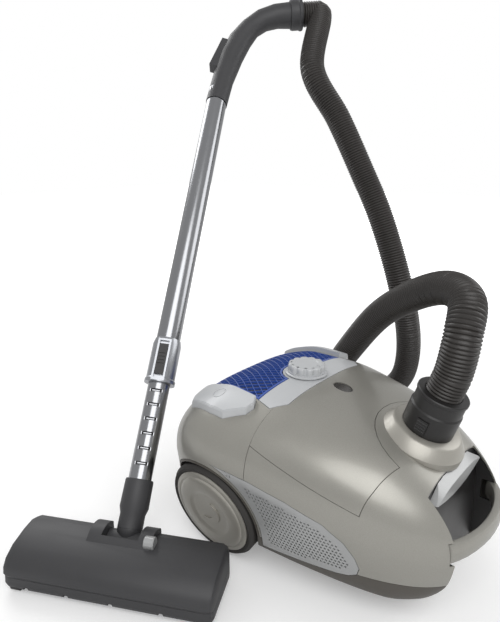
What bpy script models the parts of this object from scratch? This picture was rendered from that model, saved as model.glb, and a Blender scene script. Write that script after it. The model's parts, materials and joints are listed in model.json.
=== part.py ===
"""Canister vacuum cleaner with hose, telescopic wand and turbine floor head.

Metres, +Z up, the canister's front towards -Y. Every piece is modelled in the
canister's frame, whose origin lies on the floor under the middle of the rear
axle, and the whole is moved at the end so that its own footprint is centred.
"""

import math

import bmesh
import bpy
from mathutils import Matrix, Vector

MM = 0.001
DEGREE = math.pi / 180
GAP = 0.3 * MM
SEAM = 0.4 * MM

# Canister body: half widths, top, belt and floor heights along its length, in
# millimetres, as (place along Y, value).
BODY_REAR = 94 * MM
BODY_FRONT = -308 * MM
BODY_HALF_WIDTH = (
    (94, 104), (86, 127), (68, 145), (40, 159), (0, 165), (-60, 160), (-130, 150),
    (-200, 133), (-250, 112), (-285, 86), (-302, 58), (-308, 34),
)
BODY_TOP = (
    (94, 160), (86, 184), (68, 205), (40, 220), (0, 229), (-60, 229), (-130, 219),
    (-200, 202), (-250, 176), (-285, 146), (-302, 120), (-308, 98),
)
BODY_BELT = ((94, 124), (0, 134), (-130, 120), (-200, 104), (-308, 84))
BODY_FLOOR = ((94, 22), (80, 16), (-225, 16), (-262, 26), (-290, 50), (-308, 72))
ROUND_TOP = 2.9
ROUND_BOTTOM = 5.5
FLAT_BELLY = 1.006
SIDE_TAPER = 0.14
SECTIONS = 17
SECTION_POINTS = 24
WALL = 2.6 * MM
BASE_TOP = 62 * MM
SHELL_SEAM_Y = -64 * MM

# Rear wheels.
WHEEL_RADIUS = 70 * MM
WHEEL_WIDTH = 22 * MM
WHEEL_FACE_X = 152 * MM
WHEEL_CAMBER = 12 * DEGREE
WHEEL_CLEARANCE = 4 * MM
TYRE_DEPTH = 8 * MM
TYRE_SHOULDER = 5 * MM
AXLE_RADIUS = 6 * MM
ARCH_REACH = WHEEL_RADIUS + WHEEL_CLEARANCE + 7 * MM

# Front caster.
CASTER_Y = -205 * MM
CASTER_RADIUS = 17 * MM
CASTER_WIDTH = 16 * MM
CASTER_TRAIL = 12 * MM
CASTER_CLEARANCE = 4 * MM
CASTER_WELL_TOP = 42 * MM
CASTER_STEM_RADIUS = 4 * MM
CASTER_AXLE_RADIUS = 2 * MM

# Lid and the pieces round it.
LID_FRONT_Y = -222 * MM
LID_CORNER_X = 112 * MM
LID_CUT_ACROSS = 74 * MM
LID_CUT_ALONG = 60 * MM
LID_SIDE_REAR_Z = 187 * MM
LID_SIDE_SLOPE = 0.315
BEZEL_FRONT_Y = -76 * MM
BEZEL_REAR_Y = -38 * MM
KNOB_Y = -44 * MM
KNOB_RADIUS = 26 * MM
KNOB_HEIGHT = 17 * MM
KNOB_BAY_RADIUS = 33 * MM
KNOB_STEM_RADIUS = 4.6 * MM
WINDOW_Y = -103 * MM
WINDOW_ACROSS = 10 * MM
WINDOW_ALONG = 13 * MM
GRILLE_REAR_Y = 78 * MM
GRILLE_HALF_FRONT = 97 * MM
GRILLE_HALF_REAR = 82 * MM
PEDAL_LIFT = 5 * MM

# Grip recess, bow handle and cord outlet.
RECESS_HALF = 73 * MM
RECESS_OUTLINE = (
    (-0.4, 0.25), (-0.257, 0.25), (-0.257, 0.16), (-0.264, 0.118), (-0.266, 0.062), (-0.266, 0.0), (-0.4, 0.0),
)
BOW_END_X = 78 * MM
BOW_LOW = 92 * MM
BOW_HIGH = 118 * MM
BOW_DEPTH = 13 * MM
BOW_SPACE_REAR = -272 * MM
CORD_OUTLET = (-58 * MM, 94 * MM, 84 * MM)
CORD_BUSH_RADIUS = 7 * MM

# Hose inlet.
INLET = Vector((0, -219 * MM, 199 * MM))
INLET_TILT = 18 * DEGREE
INLET_BORE = 25 * MM
DUCT_RADIUS = 27.5 * MM
CUFF_RADIUS = 30 * MM
CUFF_START = 9 * MM
CUFF_END = 60 * MM

# Hose.
HOSE_DIAMETER = 44 * MM
HOSE_BORE = 34 * MM

# Wand.
NECK = Vector((-229 * MM, 70 * MM, 59 * MM))
WAND_TOP = Vector((155 * MM, 266 * MM, 605 * MM))
UPPER_TUBE_RADIUS = 17.5 * MM
LOWER_TUBE_RADIUS = 15.5 * MM
TUBE_WALL = 0.9 * MM
SLEEVE_LOW = 188 * MM
SLEEVE_HIGH = 254 * MM
SOCKET_HIGH = 56 * MM

# Floor head.
HEAD_LENGTH = 270 * MM
HEAD_ELBOW_BEHIND = 29 * MM


def clear_scene():
    for old in list(bpy.data.objects):
        bpy.data.objects.remove(old, do_unlink=True)


def finish(name, colour, roughness, metallic=0.0):
    """A Principled material with one colour."""
    made = bpy.data.materials.new(name)
    made.use_nodes = True
    shader = made.node_tree.nodes["Principled BSDF"]
    shader.inputs["Base Color"].default_value = (*colour, 1)
    shader.inputs["Roughness"].default_value = roughness
    shader.inputs["Metallic"].default_value = metallic
    return made


clear_scene()
TAUPE = finish("taupe lacquer", (0.27, 0.26, 0.22), 0.35, 0.4)
DARK_TAUPE = finish("dark taupe plastic", (0.07, 0.065, 0.058), 0.5)
SILVER = finish("silver lacquer", (0.42, 0.42, 0.43), 0.35, 0.5)
PALE_GREY = finish("pale grey plastic", (0.56, 0.57, 0.59), 0.4)
BLUE = finish("blue plastic", (0.03, 0.08, 0.36), 0.35)
BLACK = finish("black plastic", (0.02, 0.02, 0.02), 0.5)
RUBBER = finish("black rubber", (0.03, 0.03, 0.028), 0.7)
CHROME = finish("chromed steel", (0.8, 0.8, 0.82), 0.12, 1.0)
STEEL = finish("steel", (0.5, 0.5, 0.52), 0.3, 1.0)
GRAPHITE = finish("graphite plastic", (0.045, 0.046, 0.05), 0.55)
PAPER = finish("filter paper", (0.75, 0.73, 0.66), 0.9)
CARD = finish("card", (0.5, 0.38, 0.24), 0.9)
FOAM = finish("filter foam", (0.12, 0.12, 0.13), 0.95)
SMOKED = finish("smoked window", (0.05, 0.05, 0.06), 0.15)


def ease(points, at):
    """A smooth curve through (place, value) points in millimetres, read at a place in metres."""
    points = sorted(points)
    at = min(max(at / MM, points[0][0]), points[-1][0])
    slopes = [(b[1] - a[1]) / (b[0] - a[0]) for a, b in zip(points, points[1:])]
    ends = [slopes[0]]
    for before, after in zip(slopes, slopes[1:]):
        turns = before * after <= 0
        ends.append(0 if turns else 2 * before * after / (before + after))
    ends.append(slopes[-1])
    index = 0
    while at > points[index + 1][0]:
        index += 1
    low, high = points[index], points[index + 1]
    step = high[0] - low[0]
    t = (at - low[0]) / step
    value = (2 * t**3 - 3 * t**2 + 1) * low[1] + (t**3 - 2 * t**2 + t) * step * ends[index]
    value += (3 * t**2 - 2 * t**3) * high[1] + (t**3 - t**2) * step * ends[index + 1]
    return value * MM


def frame_at(origin, axis, across):
    """A placement whose Z runs along an axis and whose X leans towards another direction."""
    upward = Vector(axis).normalized()
    sideways = (Vector(across) - upward * Vector(across).dot(upward)).normalized()
    forward = upward.cross(sideways)
    turn = Matrix((sideways, forward, upward)).transposed()
    return Matrix.Translation(origin) @ turn.to_4x4()


def piece(name, mesh, material, placement=None, parent=None):
    """A node of the part: one named object with its own finish."""
    made = bpy.data.objects.new(name, mesh)
    bpy.context.collection.objects.link(made)
    mesh.materials.clear()
    mesh.materials.append(material)
    mesh.shade_smooth()
    mesh.set_sharp_from_angle(angle=32 * DEGREE)
    made.parent = parent or ROOT
    if placement is not None:
        made.matrix_local = placement
    return made


def helper(name, mesh, placement=None, parent=None):
    """A guide or cutter, which isn't a node."""
    made = bpy.data.objects.new(name, mesh)
    bpy.context.collection.objects.link(made)
    made.parent = parent or ROOT
    if placement is not None:
        made.matrix_local = placement
    made.hide_render = True
    made.display_type = "WIRE"
    return made


def pivot(name, placement, parent=None):
    """An empty on a joint's axis, which the pieces of a moving body hang from."""
    made = bpy.data.objects.new(name, None)
    bpy.context.collection.objects.link(made)
    made.parent = parent or ROOT
    made.matrix_local = placement
    made.empty_display_size = 20 * MM
    return made


def boolean(target, operation, others, solver):
    for other in others:
        change = target.modifiers.new(other.name, "BOOLEAN")
        change.object = other
        change.operation = operation
        change.solver = solver
    return target


def cut(target, *others, solver="EXACT"):
    return boolean(target, "DIFFERENCE", others, solver)


def keep(target, *others, solver="EXACT"):
    return boolean(target, "INTERSECT", others, solver)


def join(target, *others, solver="EXACT"):
    return boolean(target, "UNION", others, solver)


def mesh_of(name, shape):
    bmesh.ops.recalc_face_normals(shape, faces=shape.faces)
    mesh = bpy.data.meshes.new(name)
    shape.to_mesh(mesh)
    shape.free()
    return mesh


def rod(name, radius, low, high, steps=20):
    return turned(name, ((0, low), (radius, low), (radius, high), (0, high)), steps)


def ringed(name, profile, steps=32):
    """A solid of revolution from a closed outline of (radius, height) points in millimetres."""
    return turned(name, in_mm(*profile), steps)


def loft(name, rings):
    """A closed solid through rings of as many points each, with a flat face at both ends."""
    shape = bmesh.new()
    loops = [[shape.verts.new(point) for point in ring] for ring in rings]
    count = len(loops[0])
    for first, second in zip(loops, loops[1:]):
        for i in range(count):
            j = (i + 1) % count
            shape.faces.new((first[i], first[j], second[j], second[i]))
    ends = [shape.faces.new(loops[0][::-1]), shape.faces.new(loops[-1])]
    bmesh.ops.triangulate(shape, faces=ends)
    return mesh_of(name, shape)


def turned(name, profile, steps=32):
    """A solid of revolution about Z from a closed outline of (radius, height) points."""
    shape = bmesh.new()
    rings = []
    for radius, height in profile:
        if radius == 0:
            rings.append([shape.verts.new((0, 0, height))])
            continue
        ring = []
        for i in range(steps):
            angle = 2 * math.pi * i / steps
            spot = (radius * math.cos(angle), radius * math.sin(angle), height)
            ring.append(shape.verts.new(spot))
        rings.append(ring)
    for first, second in zip(rings, rings[1:] + rings[:1]):
        for i in range(steps):
            j = (i + 1) % steps
            corners = [first[i % len(first)], first[j % len(first)]]
            corners += [second[j % len(second)], second[i % len(second)]]
            corners = list(dict.fromkeys(corners))
            if len(corners) > 2:
                shape.faces.new(corners)
    return mesh_of(name, shape)


def prism(name, outline, low, high):
    """An outline in X and Y, extruded along Z."""
    rings = [[Vector((x, y, z)) for x, y in outline] for z in (low, high)]
    return loft(name, rings)


def side_prism(name, outline, low, high):
    """An outline in Y and Z, extruded along X."""
    rings = [[Vector((x, y, z)) for y, z in outline] for x in (low, high)]
    return loft(name, rings)


def box(name, low, high):
    outline = ((low[0], low[1]), (high[0], low[1]), (high[0], high[1]), (low[0], high[1]))
    return prism(name, outline, low[2], high[2])


def grown(outline, distance):
    """An outline moved outwards by a distance, or inwards by a negative one."""
    area = sum(a[0] * b[1] - b[0] * a[1] for a, b in zip(outline, outline[1:] + outline[:1]))
    turn = 1 if area > 0 else -1
    moved = []
    for i, spot in enumerate(outline):
        here = Vector(spot)
        before = (here - Vector(outline[i - 1])).normalized()
        after = (Vector(outline[(i + 1) % len(outline)]) - here).normalized()
        out_before = Vector((before.y, -before.x)) * turn
        out_after = Vector((after.y, -after.x)) * turn
        middle = (out_before + out_after).normalized()
        reach = distance / max(middle.dot(out_after), 0.4)
        moved.append(tuple(here + middle * reach))
    return moved


def arc(centre, across, along, start, end, steps):
    """Points round part of an ellipse, with its angles in degrees."""
    points = []
    for i in range(steps + 1):
        angle = (start + (end - start) * i / steps) * DEGREE
        spot = (centre[0] + across * math.cos(angle), centre[1] + along * math.sin(angle))
        points.append(spot)
    return points


def mirrored(outline):
    """The other half of an outline across X, added in reverse."""
    return outline + [(-x, y) for x, y in reversed(outline)]


def in_mm(*points):
    return [tuple(value * MM for value in point) for point in points]


ROOT = None
ROOT = pivot("vacuum_cleaner", Matrix.Identity(4))


# ---------------------------------------------------------------- canister body


def body_section(y, inset):
    """The body's outline at one place along its length, drawn in by an inset."""
    half = ease(BODY_HALF_WIDTH, y) - inset
    top = ease(BODY_TOP, y) - inset
    belt = ease(BODY_BELT, y)
    floor = ease(BODY_FLOOR, y) + inset
    ring = []
    for i in range(SECTION_POINTS):
        angle = 2 * math.pi * (i + 0.5) / SECTION_POINTS
        cosine, sine = math.cos(angle), math.sin(angle)
        above = sine > 0
        power = 2 / (ROUND_TOP if above else ROUND_BOTTOM)
        across = half * math.copysign(abs(cosine) ** power, cosine)
        upward = abs(sine) ** power
        if above:
            ring.append(Vector((across, y, belt + (top - belt) * upward)))
        else:
            upward = min(1, upward * FLAT_BELLY)
            narrow = 1 - SIDE_TAPER * upward
            ring.append(Vector((across * narrow, y, belt - (belt - floor) * upward)))
    return ring


def body_form(name, inset):
    """The body's outer form as a guide, or the same form drawn in by a depth."""
    rings = []
    for i in range(SECTIONS):
        even = i / (SECTIONS - 1)
        share = 0.45 * (0.5 - 0.5 * math.cos(math.pi * even)) + 0.55 * even
        y = BODY_REAR - inset + share * (BODY_FRONT - BODY_REAR + 2 * inset)
        rings.append(body_section(y, inset))
    return helper(name, loft(name, rings))


def wheel_frame(side):
    """A rear wheel's placement: Z runs outwards along its axle, from the middle of its face."""
    outward = Vector((side * math.cos(WHEEL_CAMBER), 0, -math.sin(WHEEL_CAMBER)))
    height = WHEEL_RADIUS * math.cos(WHEEL_CAMBER) - TYRE_SHOULDER * math.sin(WHEEL_CAMBER)
    centre = Vector((side * WHEEL_FACE_X, 0, height))
    return frame_at(centre, outward, (0, 1, 0))


def wheel_pocket(name, side, extra):
    """The round recess that a rear wheel turns in, or the same one with its wall."""
    radius = WHEEL_RADIUS + WHEEL_CLEARANCE + extra
    low = -WHEEL_WIDTH - 5 * MM - extra
    profile = ((0, low), (radius, low), (radius, 60 * MM), (0, 60 * MM))
    return helper(name, turned(name, profile, 28), wheel_frame(side))


def lid_outline():
    """The lid's edge seen from above, with the cut round the hose inlet."""
    wide = 175 * MM
    bow = arc((0, LID_FRONT_Y), LID_CUT_ACROSS, LID_CUT_ALONG, 0, 180, 14)
    corner = [(-LID_CORNER_X, LID_FRONT_Y + 11 * MM), (-122 * MM, LID_FRONT_Y + 21 * MM)]
    rear = [(-wide, LID_FRONT_Y + 30 * MM), (-wide, SHELL_SEAM_Y)]
    near = corner + rear
    far = [(-x, y) for x, y in reversed(near)]
    return bow + near + far


def lid_region(name, outset):
    """The space that the lid takes out of the front shell, or that space moved out or in."""
    outline = grown(lid_outline(), outset)
    low = []
    for x, y in outline:
        fall = LID_SIDE_REAR_Z + (y - SHELL_SEAM_Y) * LID_SIDE_SLOPE - outset
        low.append(Vector((x, y, fall)))
    high = [Vector((x, y, 270 * MM)) for x, y in outline]
    return helper(name, loft(name, [low, high]))


def bezel_outline():
    """The control bezel's edge from above: pointed ends and a round bay behind the knob."""
    near = [(-86 * MM, BEZEL_FRONT_Y), (-104 * MM, -60 * MM), (-98 * MM, BEZEL_REAR_Y)]
    return mirrored(near + knob_bay(KNOB_BAY_RADIUS, BEZEL_REAR_Y, 90.01, 5))


def knob_bay(radius, edge_y, end, steps):
    """The round edge behind the knob, from where it meets a straight edge."""
    start = 180 - math.degrees(math.asin((edge_y - KNOB_Y) / radius))
    return arc((0, KNOB_Y), radius, radius, start, end, steps)


def grille_outline():
    """The exhaust grille's edge from above: a trapezium with a finger notch at the rear."""
    front = BEZEL_REAR_Y + 2 * SEAM
    left = [
        (-GRILLE_HALF_FRONT, front), (-GRILLE_HALF_REAR, GRILLE_REAR_Y - 12 * MM),
        (-GRILLE_HALF_REAR + 10 * MM, GRILLE_REAR_Y), (-15 * MM, GRILLE_REAR_Y + 3 * MM),
        (-11 * MM, GRILLE_REAR_Y - 7 * MM),
    ]
    bay = knob_bay(KNOB_BAY_RADIUS + 2 * SEAM, front, 90.01, 4)
    return left + [(-x, y) for x, y in reversed(left)] + [(-x, y) for x, y in bay] + bay[::-1]


def pedal_outline(side):
    points = in_mm((101, -36), (113, -42), (124, -38), (139, -12), (138, 10), (126, 56), (112, 66), (92, 62))
    return [(side * x, y) for x, y in points]


def panel_outline():
    """A side panel's edge from the side, round the wheel and then forwards."""
    rise = WHEEL_RADIUS * math.cos(WHEEL_CAMBER)
    bow = arc((0, rise), ARCH_REACH, ARCH_REACH, 214, 99, 12)
    front = in_mm((-36, 147), (-70, 144), (-118, 135), (-166, 121), (-190, 104), (-203, 78), (-201, 40), (-190, 27))
    return bow + front


# EXACT loses whole pieces of this thin double skin, so its cuts use MANIFOLD.
SKIN_SOLVER = "MANIFOLD"
FAR = 500 * MM


def caster_well(name, extra):
    """The round recess that the caster swivels in, or the same one with its wall."""
    radius = CASTER_TRAIL + CASTER_RADIUS + CASTER_CLEARANCE + extra
    top = CASTER_WELL_TOP + extra
    profile = ((0, -40 * MM), (radius, -40 * MM), (radius, top), (0, top))
    return helper(name, turned(name, profile, 20), Matrix.Translation((0, CASTER_Y, 0)))


def hollow(name, inset, extra):
    """The body's form drawn in by an inset and clear of the wheel and caster wells."""
    form = body_form(name, inset)
    for side, word in SIDES:
        well = wheel_pocket(name + "_wheel_" + word, side, extra)
        cut(form, well, solver=SKIN_SOLVER)
    return cut(form, caster_well(name + "_caster", extra), solver=SKIN_SOLVER)


SIDES = ((-1, "right"), (1, "left"))
SKIN = hollow("body_skin", 0, 0)
cut(SKIN, hollow("body_inside", WALL, WALL), solver=SKIN_SOLVER)
ROOM = hollow("body_room", WALL + GAP, WALL + GAP)
LID_HOLE = lid_region("lid_hole", SEAM)


def recess_space(name, outset):
    """The grip recess in the nose, open at the front and below, or that space moved out."""
    outline = grown(RECESS_OUTLINE, outset)
    half = RECESS_HALF + outset
    return helper(name, side_prism(name, outline, -half, half))


RECESS = recess_space("recess_space", 0)


def panel_space(name, side, outset):
    """A side panel's stretch of the body's flank."""
    low, high = (-FAR, -60 * MM) if side < 0 else (60 * MM, FAR)
    return helper(name, side_prism(name, grown(panel_outline(), outset), low, high))


def space_over(name, outline, outset=0.0, low=120 * MM):
    """The space above an outline on top of the body."""
    return helper(name, prism(name, grown(outline, outset), low, 300 * MM))


def casing(name, mesh, material, *spaces):
    """A piece of the body's skin inside a mesh and outside the spaces of its neighbours."""
    made = piece(name, mesh, material)
    keep(made, SKIN, solver=SKIN_SOLVER)
    return cut(made, *spaces, solver=SKIN_SOLVER)


def rear_outline():
    """The rear shell's stretch from the side, with its arch round the front of the wheel."""
    centre = WHEEL_RADIUS * math.cos(WHEEL_CAMBER)
    seam = SHELL_SEAM_Y + SEAM / 2
    start = 180 - math.degrees(math.acos(-seam / ARCH_REACH))
    end = 180 + math.degrees(math.asin((centre - BASE_TOP) / ARCH_REACH))
    bow = arc((0, centre), ARCH_REACH, ARCH_REACH, start, end, 5)
    return [(FAR, BASE_TOP), (FAR, FAR), (seam, FAR)] + bow


def window_outline():
    return arc((0, WINDOW_Y), WINDOW_ACROSS, WINDOW_ALONG, 0, 340, 17)


WELLS = [wheel_pocket("wheel_well_" + word, side, WALL + SEAM / 2) for side, word in SIDES]
WELL_GAPS = [wheel_pocket("wheel_gap_" + word, side, WALL + 1.5 * SEAM) for side, word in SIDES]
BEZEL_HOLE = space_over("bezel_hole", bezel_outline(), SEAM)
GRILLE_HOLE = space_over("grille_hole", grille_outline(), SEAM)
PEDAL_HOLES = [space_over("pedal_hole_" + word, pedal_outline(side), SEAM) for side, word in SIDES]


REAR_SPACE = helper("rear_space", side_prism("rear_space", grown(rear_outline(), SEAM), -FAR, FAR))
AXLE_HOLES = [
    helper("axle_hole_" + word, rod("axle_hole", AXLE_RADIUS + 2 * GAP, -50 * MM, -10 * MM), wheel_frame(side))
    for side, word in SIDES
]
STEM_HOLE = rod("stem_hole", CASTER_STEM_RADIUS + GAP, 30 * MM, 60 * MM)
STEM_HOLE = helper("stem_hole", STEM_HOLE, Matrix.Translation((0, CASTER_Y, 0)))
INLET_FRAME = frame_at(INLET, (0, -math.sin(INLET_TILT), math.cos(INLET_TILT)), (1, 0, 0))
INLET_HOLE = helper("inlet_hole", rod("inlet_hole", DUCT_RADIUS + 2 * GAP, -40 * MM, 40 * MM, 32), INLET_FRAME)
CORD_FRAME = frame_at(CORD_OUTLET, (0, 1, 0), (1, 0, 0))
CORD_HOLE = rod("cord_hole", CORD_BUSH_RADIUS + GAP, -20 * MM, 20 * MM)
CORD_HOLE = helper("cord_hole", CORD_HOLE, CORD_FRAME)
WINDOW_HOLE = space_over("window_hole", window_outline(), SEAM)
BOW_SPACE = box("bow_space", (-BOW_END_X - SEAM, -FAR, BOW_LOW - SEAM), (BOW_END_X + SEAM, BOW_SPACE_REAR, BOW_HIGH + SEAM))
BOW_SPACE = helper("bow_space", BOW_SPACE)


def build_shells():
    holes = [panel_space("panel_hole_" + word, side, SEAM) for side, word in SIDES]
    for side, word in SIDES:
        panel = panel_space("panel_space_" + word, side, 0)
        casing("side_panel_" + word, panel.data.copy(), SILVER, *WELL_GAPS)
    base = box("base_tray", (-FAR, -FAR, 0), (FAR, FAR, BASE_TOP - SEAM))
    base = piece("base_tray", base, DARK_TAUPE)
    cut(base, *holes, solver=SKIN_SOLVER)
    join(base, *WELLS, solver=SKIN_SOLVER)
    keep(base, SKIN, solver=SKIN_SOLVER)
    cut(base, RECESS, *AXLE_HOLES, STEM_HOLE, solver=SKIN_SOLVER)
    front = box("front_shell", (-FAR, -FAR, BASE_TOP), (FAR, SHELL_SEAM_Y + 20 * MM, FAR))
    spaces = [LID_HOLE, RECESS, BOW_SPACE, BEZEL_HOLE, REAR_SPACE, INLET_HOLE, *WELL_GAPS, *holes]
    front = casing("front_shell", front, TAUPE, *spaces)
    rear = side_prism("rear_shell", rear_outline(), -FAR, FAR)
    bay = helper("knob_bay", rod("knob_bay", KNOB_BAY_RADIUS + 4 * SEAM, 100 * MM, 300 * MM, 32))
    bay.location.y = KNOB_Y
    spaces = [BEZEL_HOLE, GRILLE_HOLE, bay, *PEDAL_HOLES, *WELL_GAPS, *holes, CORD_HOLE]
    rear = casing("rear_shell", rear, TAUPE, *spaces)
    cover = lid_region("lid_space", 0)
    cover = casing("lid", cover.data.copy(), TAUPE, BEZEL_HOLE, WINDOW_HOLE)
    return base, front, rear, cover


BASE, FRONT_SHELL, REAR_SHELL, LID = build_shells()


def capped(name, outline, lift, depth, material):
    """A piece whose top and underside follow the body at two depths under its surface."""
    above = body_form(name + "_top_guide", -lift)
    below = body_form(name + "_under_guide", depth)
    made = piece(name, prism(name, outline, 120 * MM, 300 * MM), material)
    keep(made, above, solver=SKIN_SOLVER)
    return cut(made, below, solver=SKIN_SOLVER)


# ---------------------------------------------------------------- top pieces


def build_top():
    bezel = capped("control_bezel", bezel_outline(), 0.4 * MM, WALL, PALE_GREY)
    stem = rod("knob_stem_hole", KNOB_STEM_RADIUS + GAP, -40 * MM, 40 * MM)
    cut(bezel, helper("knob_stem_hole", stem, Matrix.Translation((0, KNOB_Y, KNOB_SEAT_Z))))
    grille = capped("exhaust_grille", grille_outline(), 0.4 * MM, 2.6 * MM, BLUE)
    cut(grille, helper("grille_openings", grille_openings()), solver=SKIN_SOLVER)
    capped("exhaust_filter", grown(grille_outline(), -6 * MM), -2.9 * MM, 10 * MM, FOAM)
    capped("window_lens", grown(window_outline(), -SEAM / 2), -0.8 * MM, 2.2 * MM, SMOKED)
    for side, word in SIDES:
        name = {"right": "power_pedal", "left": "rewind_pedal"}[word]
        capped(name, pedal_outline(side), PEDAL_LIFT, 7 * MM, PALE_GREY)
    build_knob()
    build_seal()


KNOB_SEAT_Z = 230.4 * MM


def build_knob():
    """A fluted knob on a round base ring, with a stem down to the speed control."""
    low, high = 2.4 * MM, KNOB_HEIGHT
    rings = []
    for height, shrink in ((low, 0), (high - 2 * MM, 0), (high, 3 * MM)):
        ring = []
        for i in range(48):
            angle = 2 * math.pi * i / 48
            flute = 1.5 * MM * (0.5 + 0.5 * math.cos(12 * angle)) ** 2
            radius = KNOB_RADIUS - shrink - flute
            ring.append(Vector((radius * math.cos(angle), radius * math.sin(angle), height)))
        rings.append(ring)
    place = Matrix.Translation((0, KNOB_Y, KNOB_SEAT_Z))
    knob = piece("suction_knob", loft("suction_knob", rings), PALE_GREY, place)
    stem = KNOB_STEM_RADIUS / MM
    profile = ((0, 4), (27, 4), (27, 2.2), (29.5, 1.2), (29.5, 0), (stem, 0), (stem, -9), (0, -9))
    join(knob, helper("knob_base", ringed("knob_base", profile, 28), place))


def build_seal():
    """The rubber seal under the lid's edge."""
    seal = lid_region("lid_seal_space", -4 * MM)
    seal = piece("lid_seal", seal.data.copy(), RUBBER)
    keep(seal, body_form("lid_seal_top", WALL + GAP), solver=SKIN_SOLVER)
    cut(seal, body_form("lid_seal_under", WALL + 4 * MM), solver=SKIN_SOLVER)
    cut(seal, lid_region("lid_seal_middle", -9 * MM), solver=SKIN_SOLVER)
    cut(seal, space_over("lid_seal_bezel", bezel_outline(), 2 * MM), solver=SKIN_SOLVER)


def grille_openings():
    """Diamond openings in staggered rows, clear of the grille's border and the knob's bay."""
    shape = bmesh.new()
    pitch, row = 22 * MM, 12.6 * MM
    half_across, half_along = 8.4 * MM, 9.7 * MM
    inner = grown(grille_outline(), -4 * MM)
    for j in range(-4, 9):
        for i in range(-6, 7):
            x = (i + 0.5 * (j % 2)) * pitch
            y = j * row
            corners = [(x - half_across, y), (x, y - half_along), (x + half_across, y), (x, y + half_along)]
            if not all(holds(inner, corner) for corner in corners):
                continue
            low = [shape.verts.new((px, py, 150 * MM)) for px, py in corners]
            high = [shape.verts.new((px, py, 260 * MM)) for px, py in corners]
            shape.faces.new(low[::-1])
            shape.faces.new(high)
            for k in range(4):
                n = (k + 1) % 4
                shape.faces.new((low[k], low[n], high[n], high[k]))
    return mesh_of("grille_openings", shape)


def holds(outline, spot):
    """Whether a point lies inside an outline."""
    inside = False
    x, y = spot
    for (ax, ay), (bx, by) in zip(outline, outline[1:] + outline[:1]):
        if (ay > y) != (by > y) and x < ax + (y - ay) * (bx - ax) / (by - ay):
            inside = not inside
    return inside


build_top()


# ---------------------------------------------------------------- nose and inlet


def build_nose():
    """The bow handle, the recess behind it and the latch at its top."""
    liner = recess_space("recess_outside", WALL + 0.2 * MM)
    liner = piece("handle_recess", liner.data.copy(), BLACK)
    keep(liner, body_form("liner_guide", WALL + 1 * MM), solver=SKIN_SOLVER)
    cut(liner, recess_space("recess_face", GAP), BOW_SPACE, solver=SKIN_SOLVER)
    lens = latch_outline()
    latch = piece("lid_latch", front_prism("lid_latch", lens, -268 * MM, -257.5 * MM), SILVER)
    keep(latch, body_form("latch_guide", WALL + 2 * GAP), solver=SKIN_SOLVER)
    space = front_prism("latch_space", grown(lens, SEAM), -280 * MM, -240 * MM)
    cut(liner, helper("latch_space", space), solver=SKIN_SOLVER)
    build_bow()


def latch_outline():
    """A lens shape in X and Z, pointed at both ends."""
    low = [(x * MM, (151 - 9 * (1 - (x / 69) ** 2)) * MM) for x in range(-69, 70, 23)]
    high = [(x * MM, (151 + 26 * (1 - (x / 69) ** 2)) * MM) for x in range(46, -47, -23)]
    return low + high


def front_prism(name, outline, rear, front):
    """An outline in X and Z, extruded along Y."""
    rings = [[Vector((x, y, z)) for x, z in outline] for y in (rear, front)]
    return loft(name, rings)


def build_bow():
    """The carry handle: a rounded bar swept round the nose between its two seats."""
    rings = []
    steps = 14
    span = math.asin(BOW_SEAT_DROP / BOW_REACH)
    for i in range(steps + 1):
        angle = -span - (math.pi - 2 * span) * i / steps
        share = math.sin(math.pi * i / steps)
        spot = Vector((BOW_SPREAD * math.cos(angle), BOW_MIDDLE_Y + BOW_REACH * math.sin(angle), 0))
        outward = Vector((math.cos(angle) / BOW_SPREAD, math.sin(angle) / BOW_REACH, 0)).normalized()
        half_height = (BOW_HIGH - BOW_LOW) / 2 - 2 * MM * share
        middle = (BOW_HIGH + BOW_LOW) / 2 + 3 * MM * share
        ring = []
        for k in range(12):
            turn = 2 * math.pi * k / 12
            deep = math.copysign(abs(math.cos(turn)) ** 0.7, math.cos(turn)) * BOW_DEPTH / 2
            tall = math.copysign(abs(math.sin(turn)) ** 0.7, math.sin(turn)) * half_height
            ring.append(spot + outward * (deep - BOW_DEPTH / 2) + Vector((0, 0, middle + tall)))
        rings.append(ring)
    bow = piece("carry_handle", loft("carry_handle", rings), TAUPE)
    keep(bow, helper("bow_limit", box("bow_limit", (-BOW_END_X, -FAR, 0), (BOW_END_X, -200 * MM, FAR))))


BOW_SPREAD = 96 * MM
BOW_REACH = 52 * MM
BOW_MIDDLE_Y = -262 * MM
BOW_SEAT_DROP = 24 * MM


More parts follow.
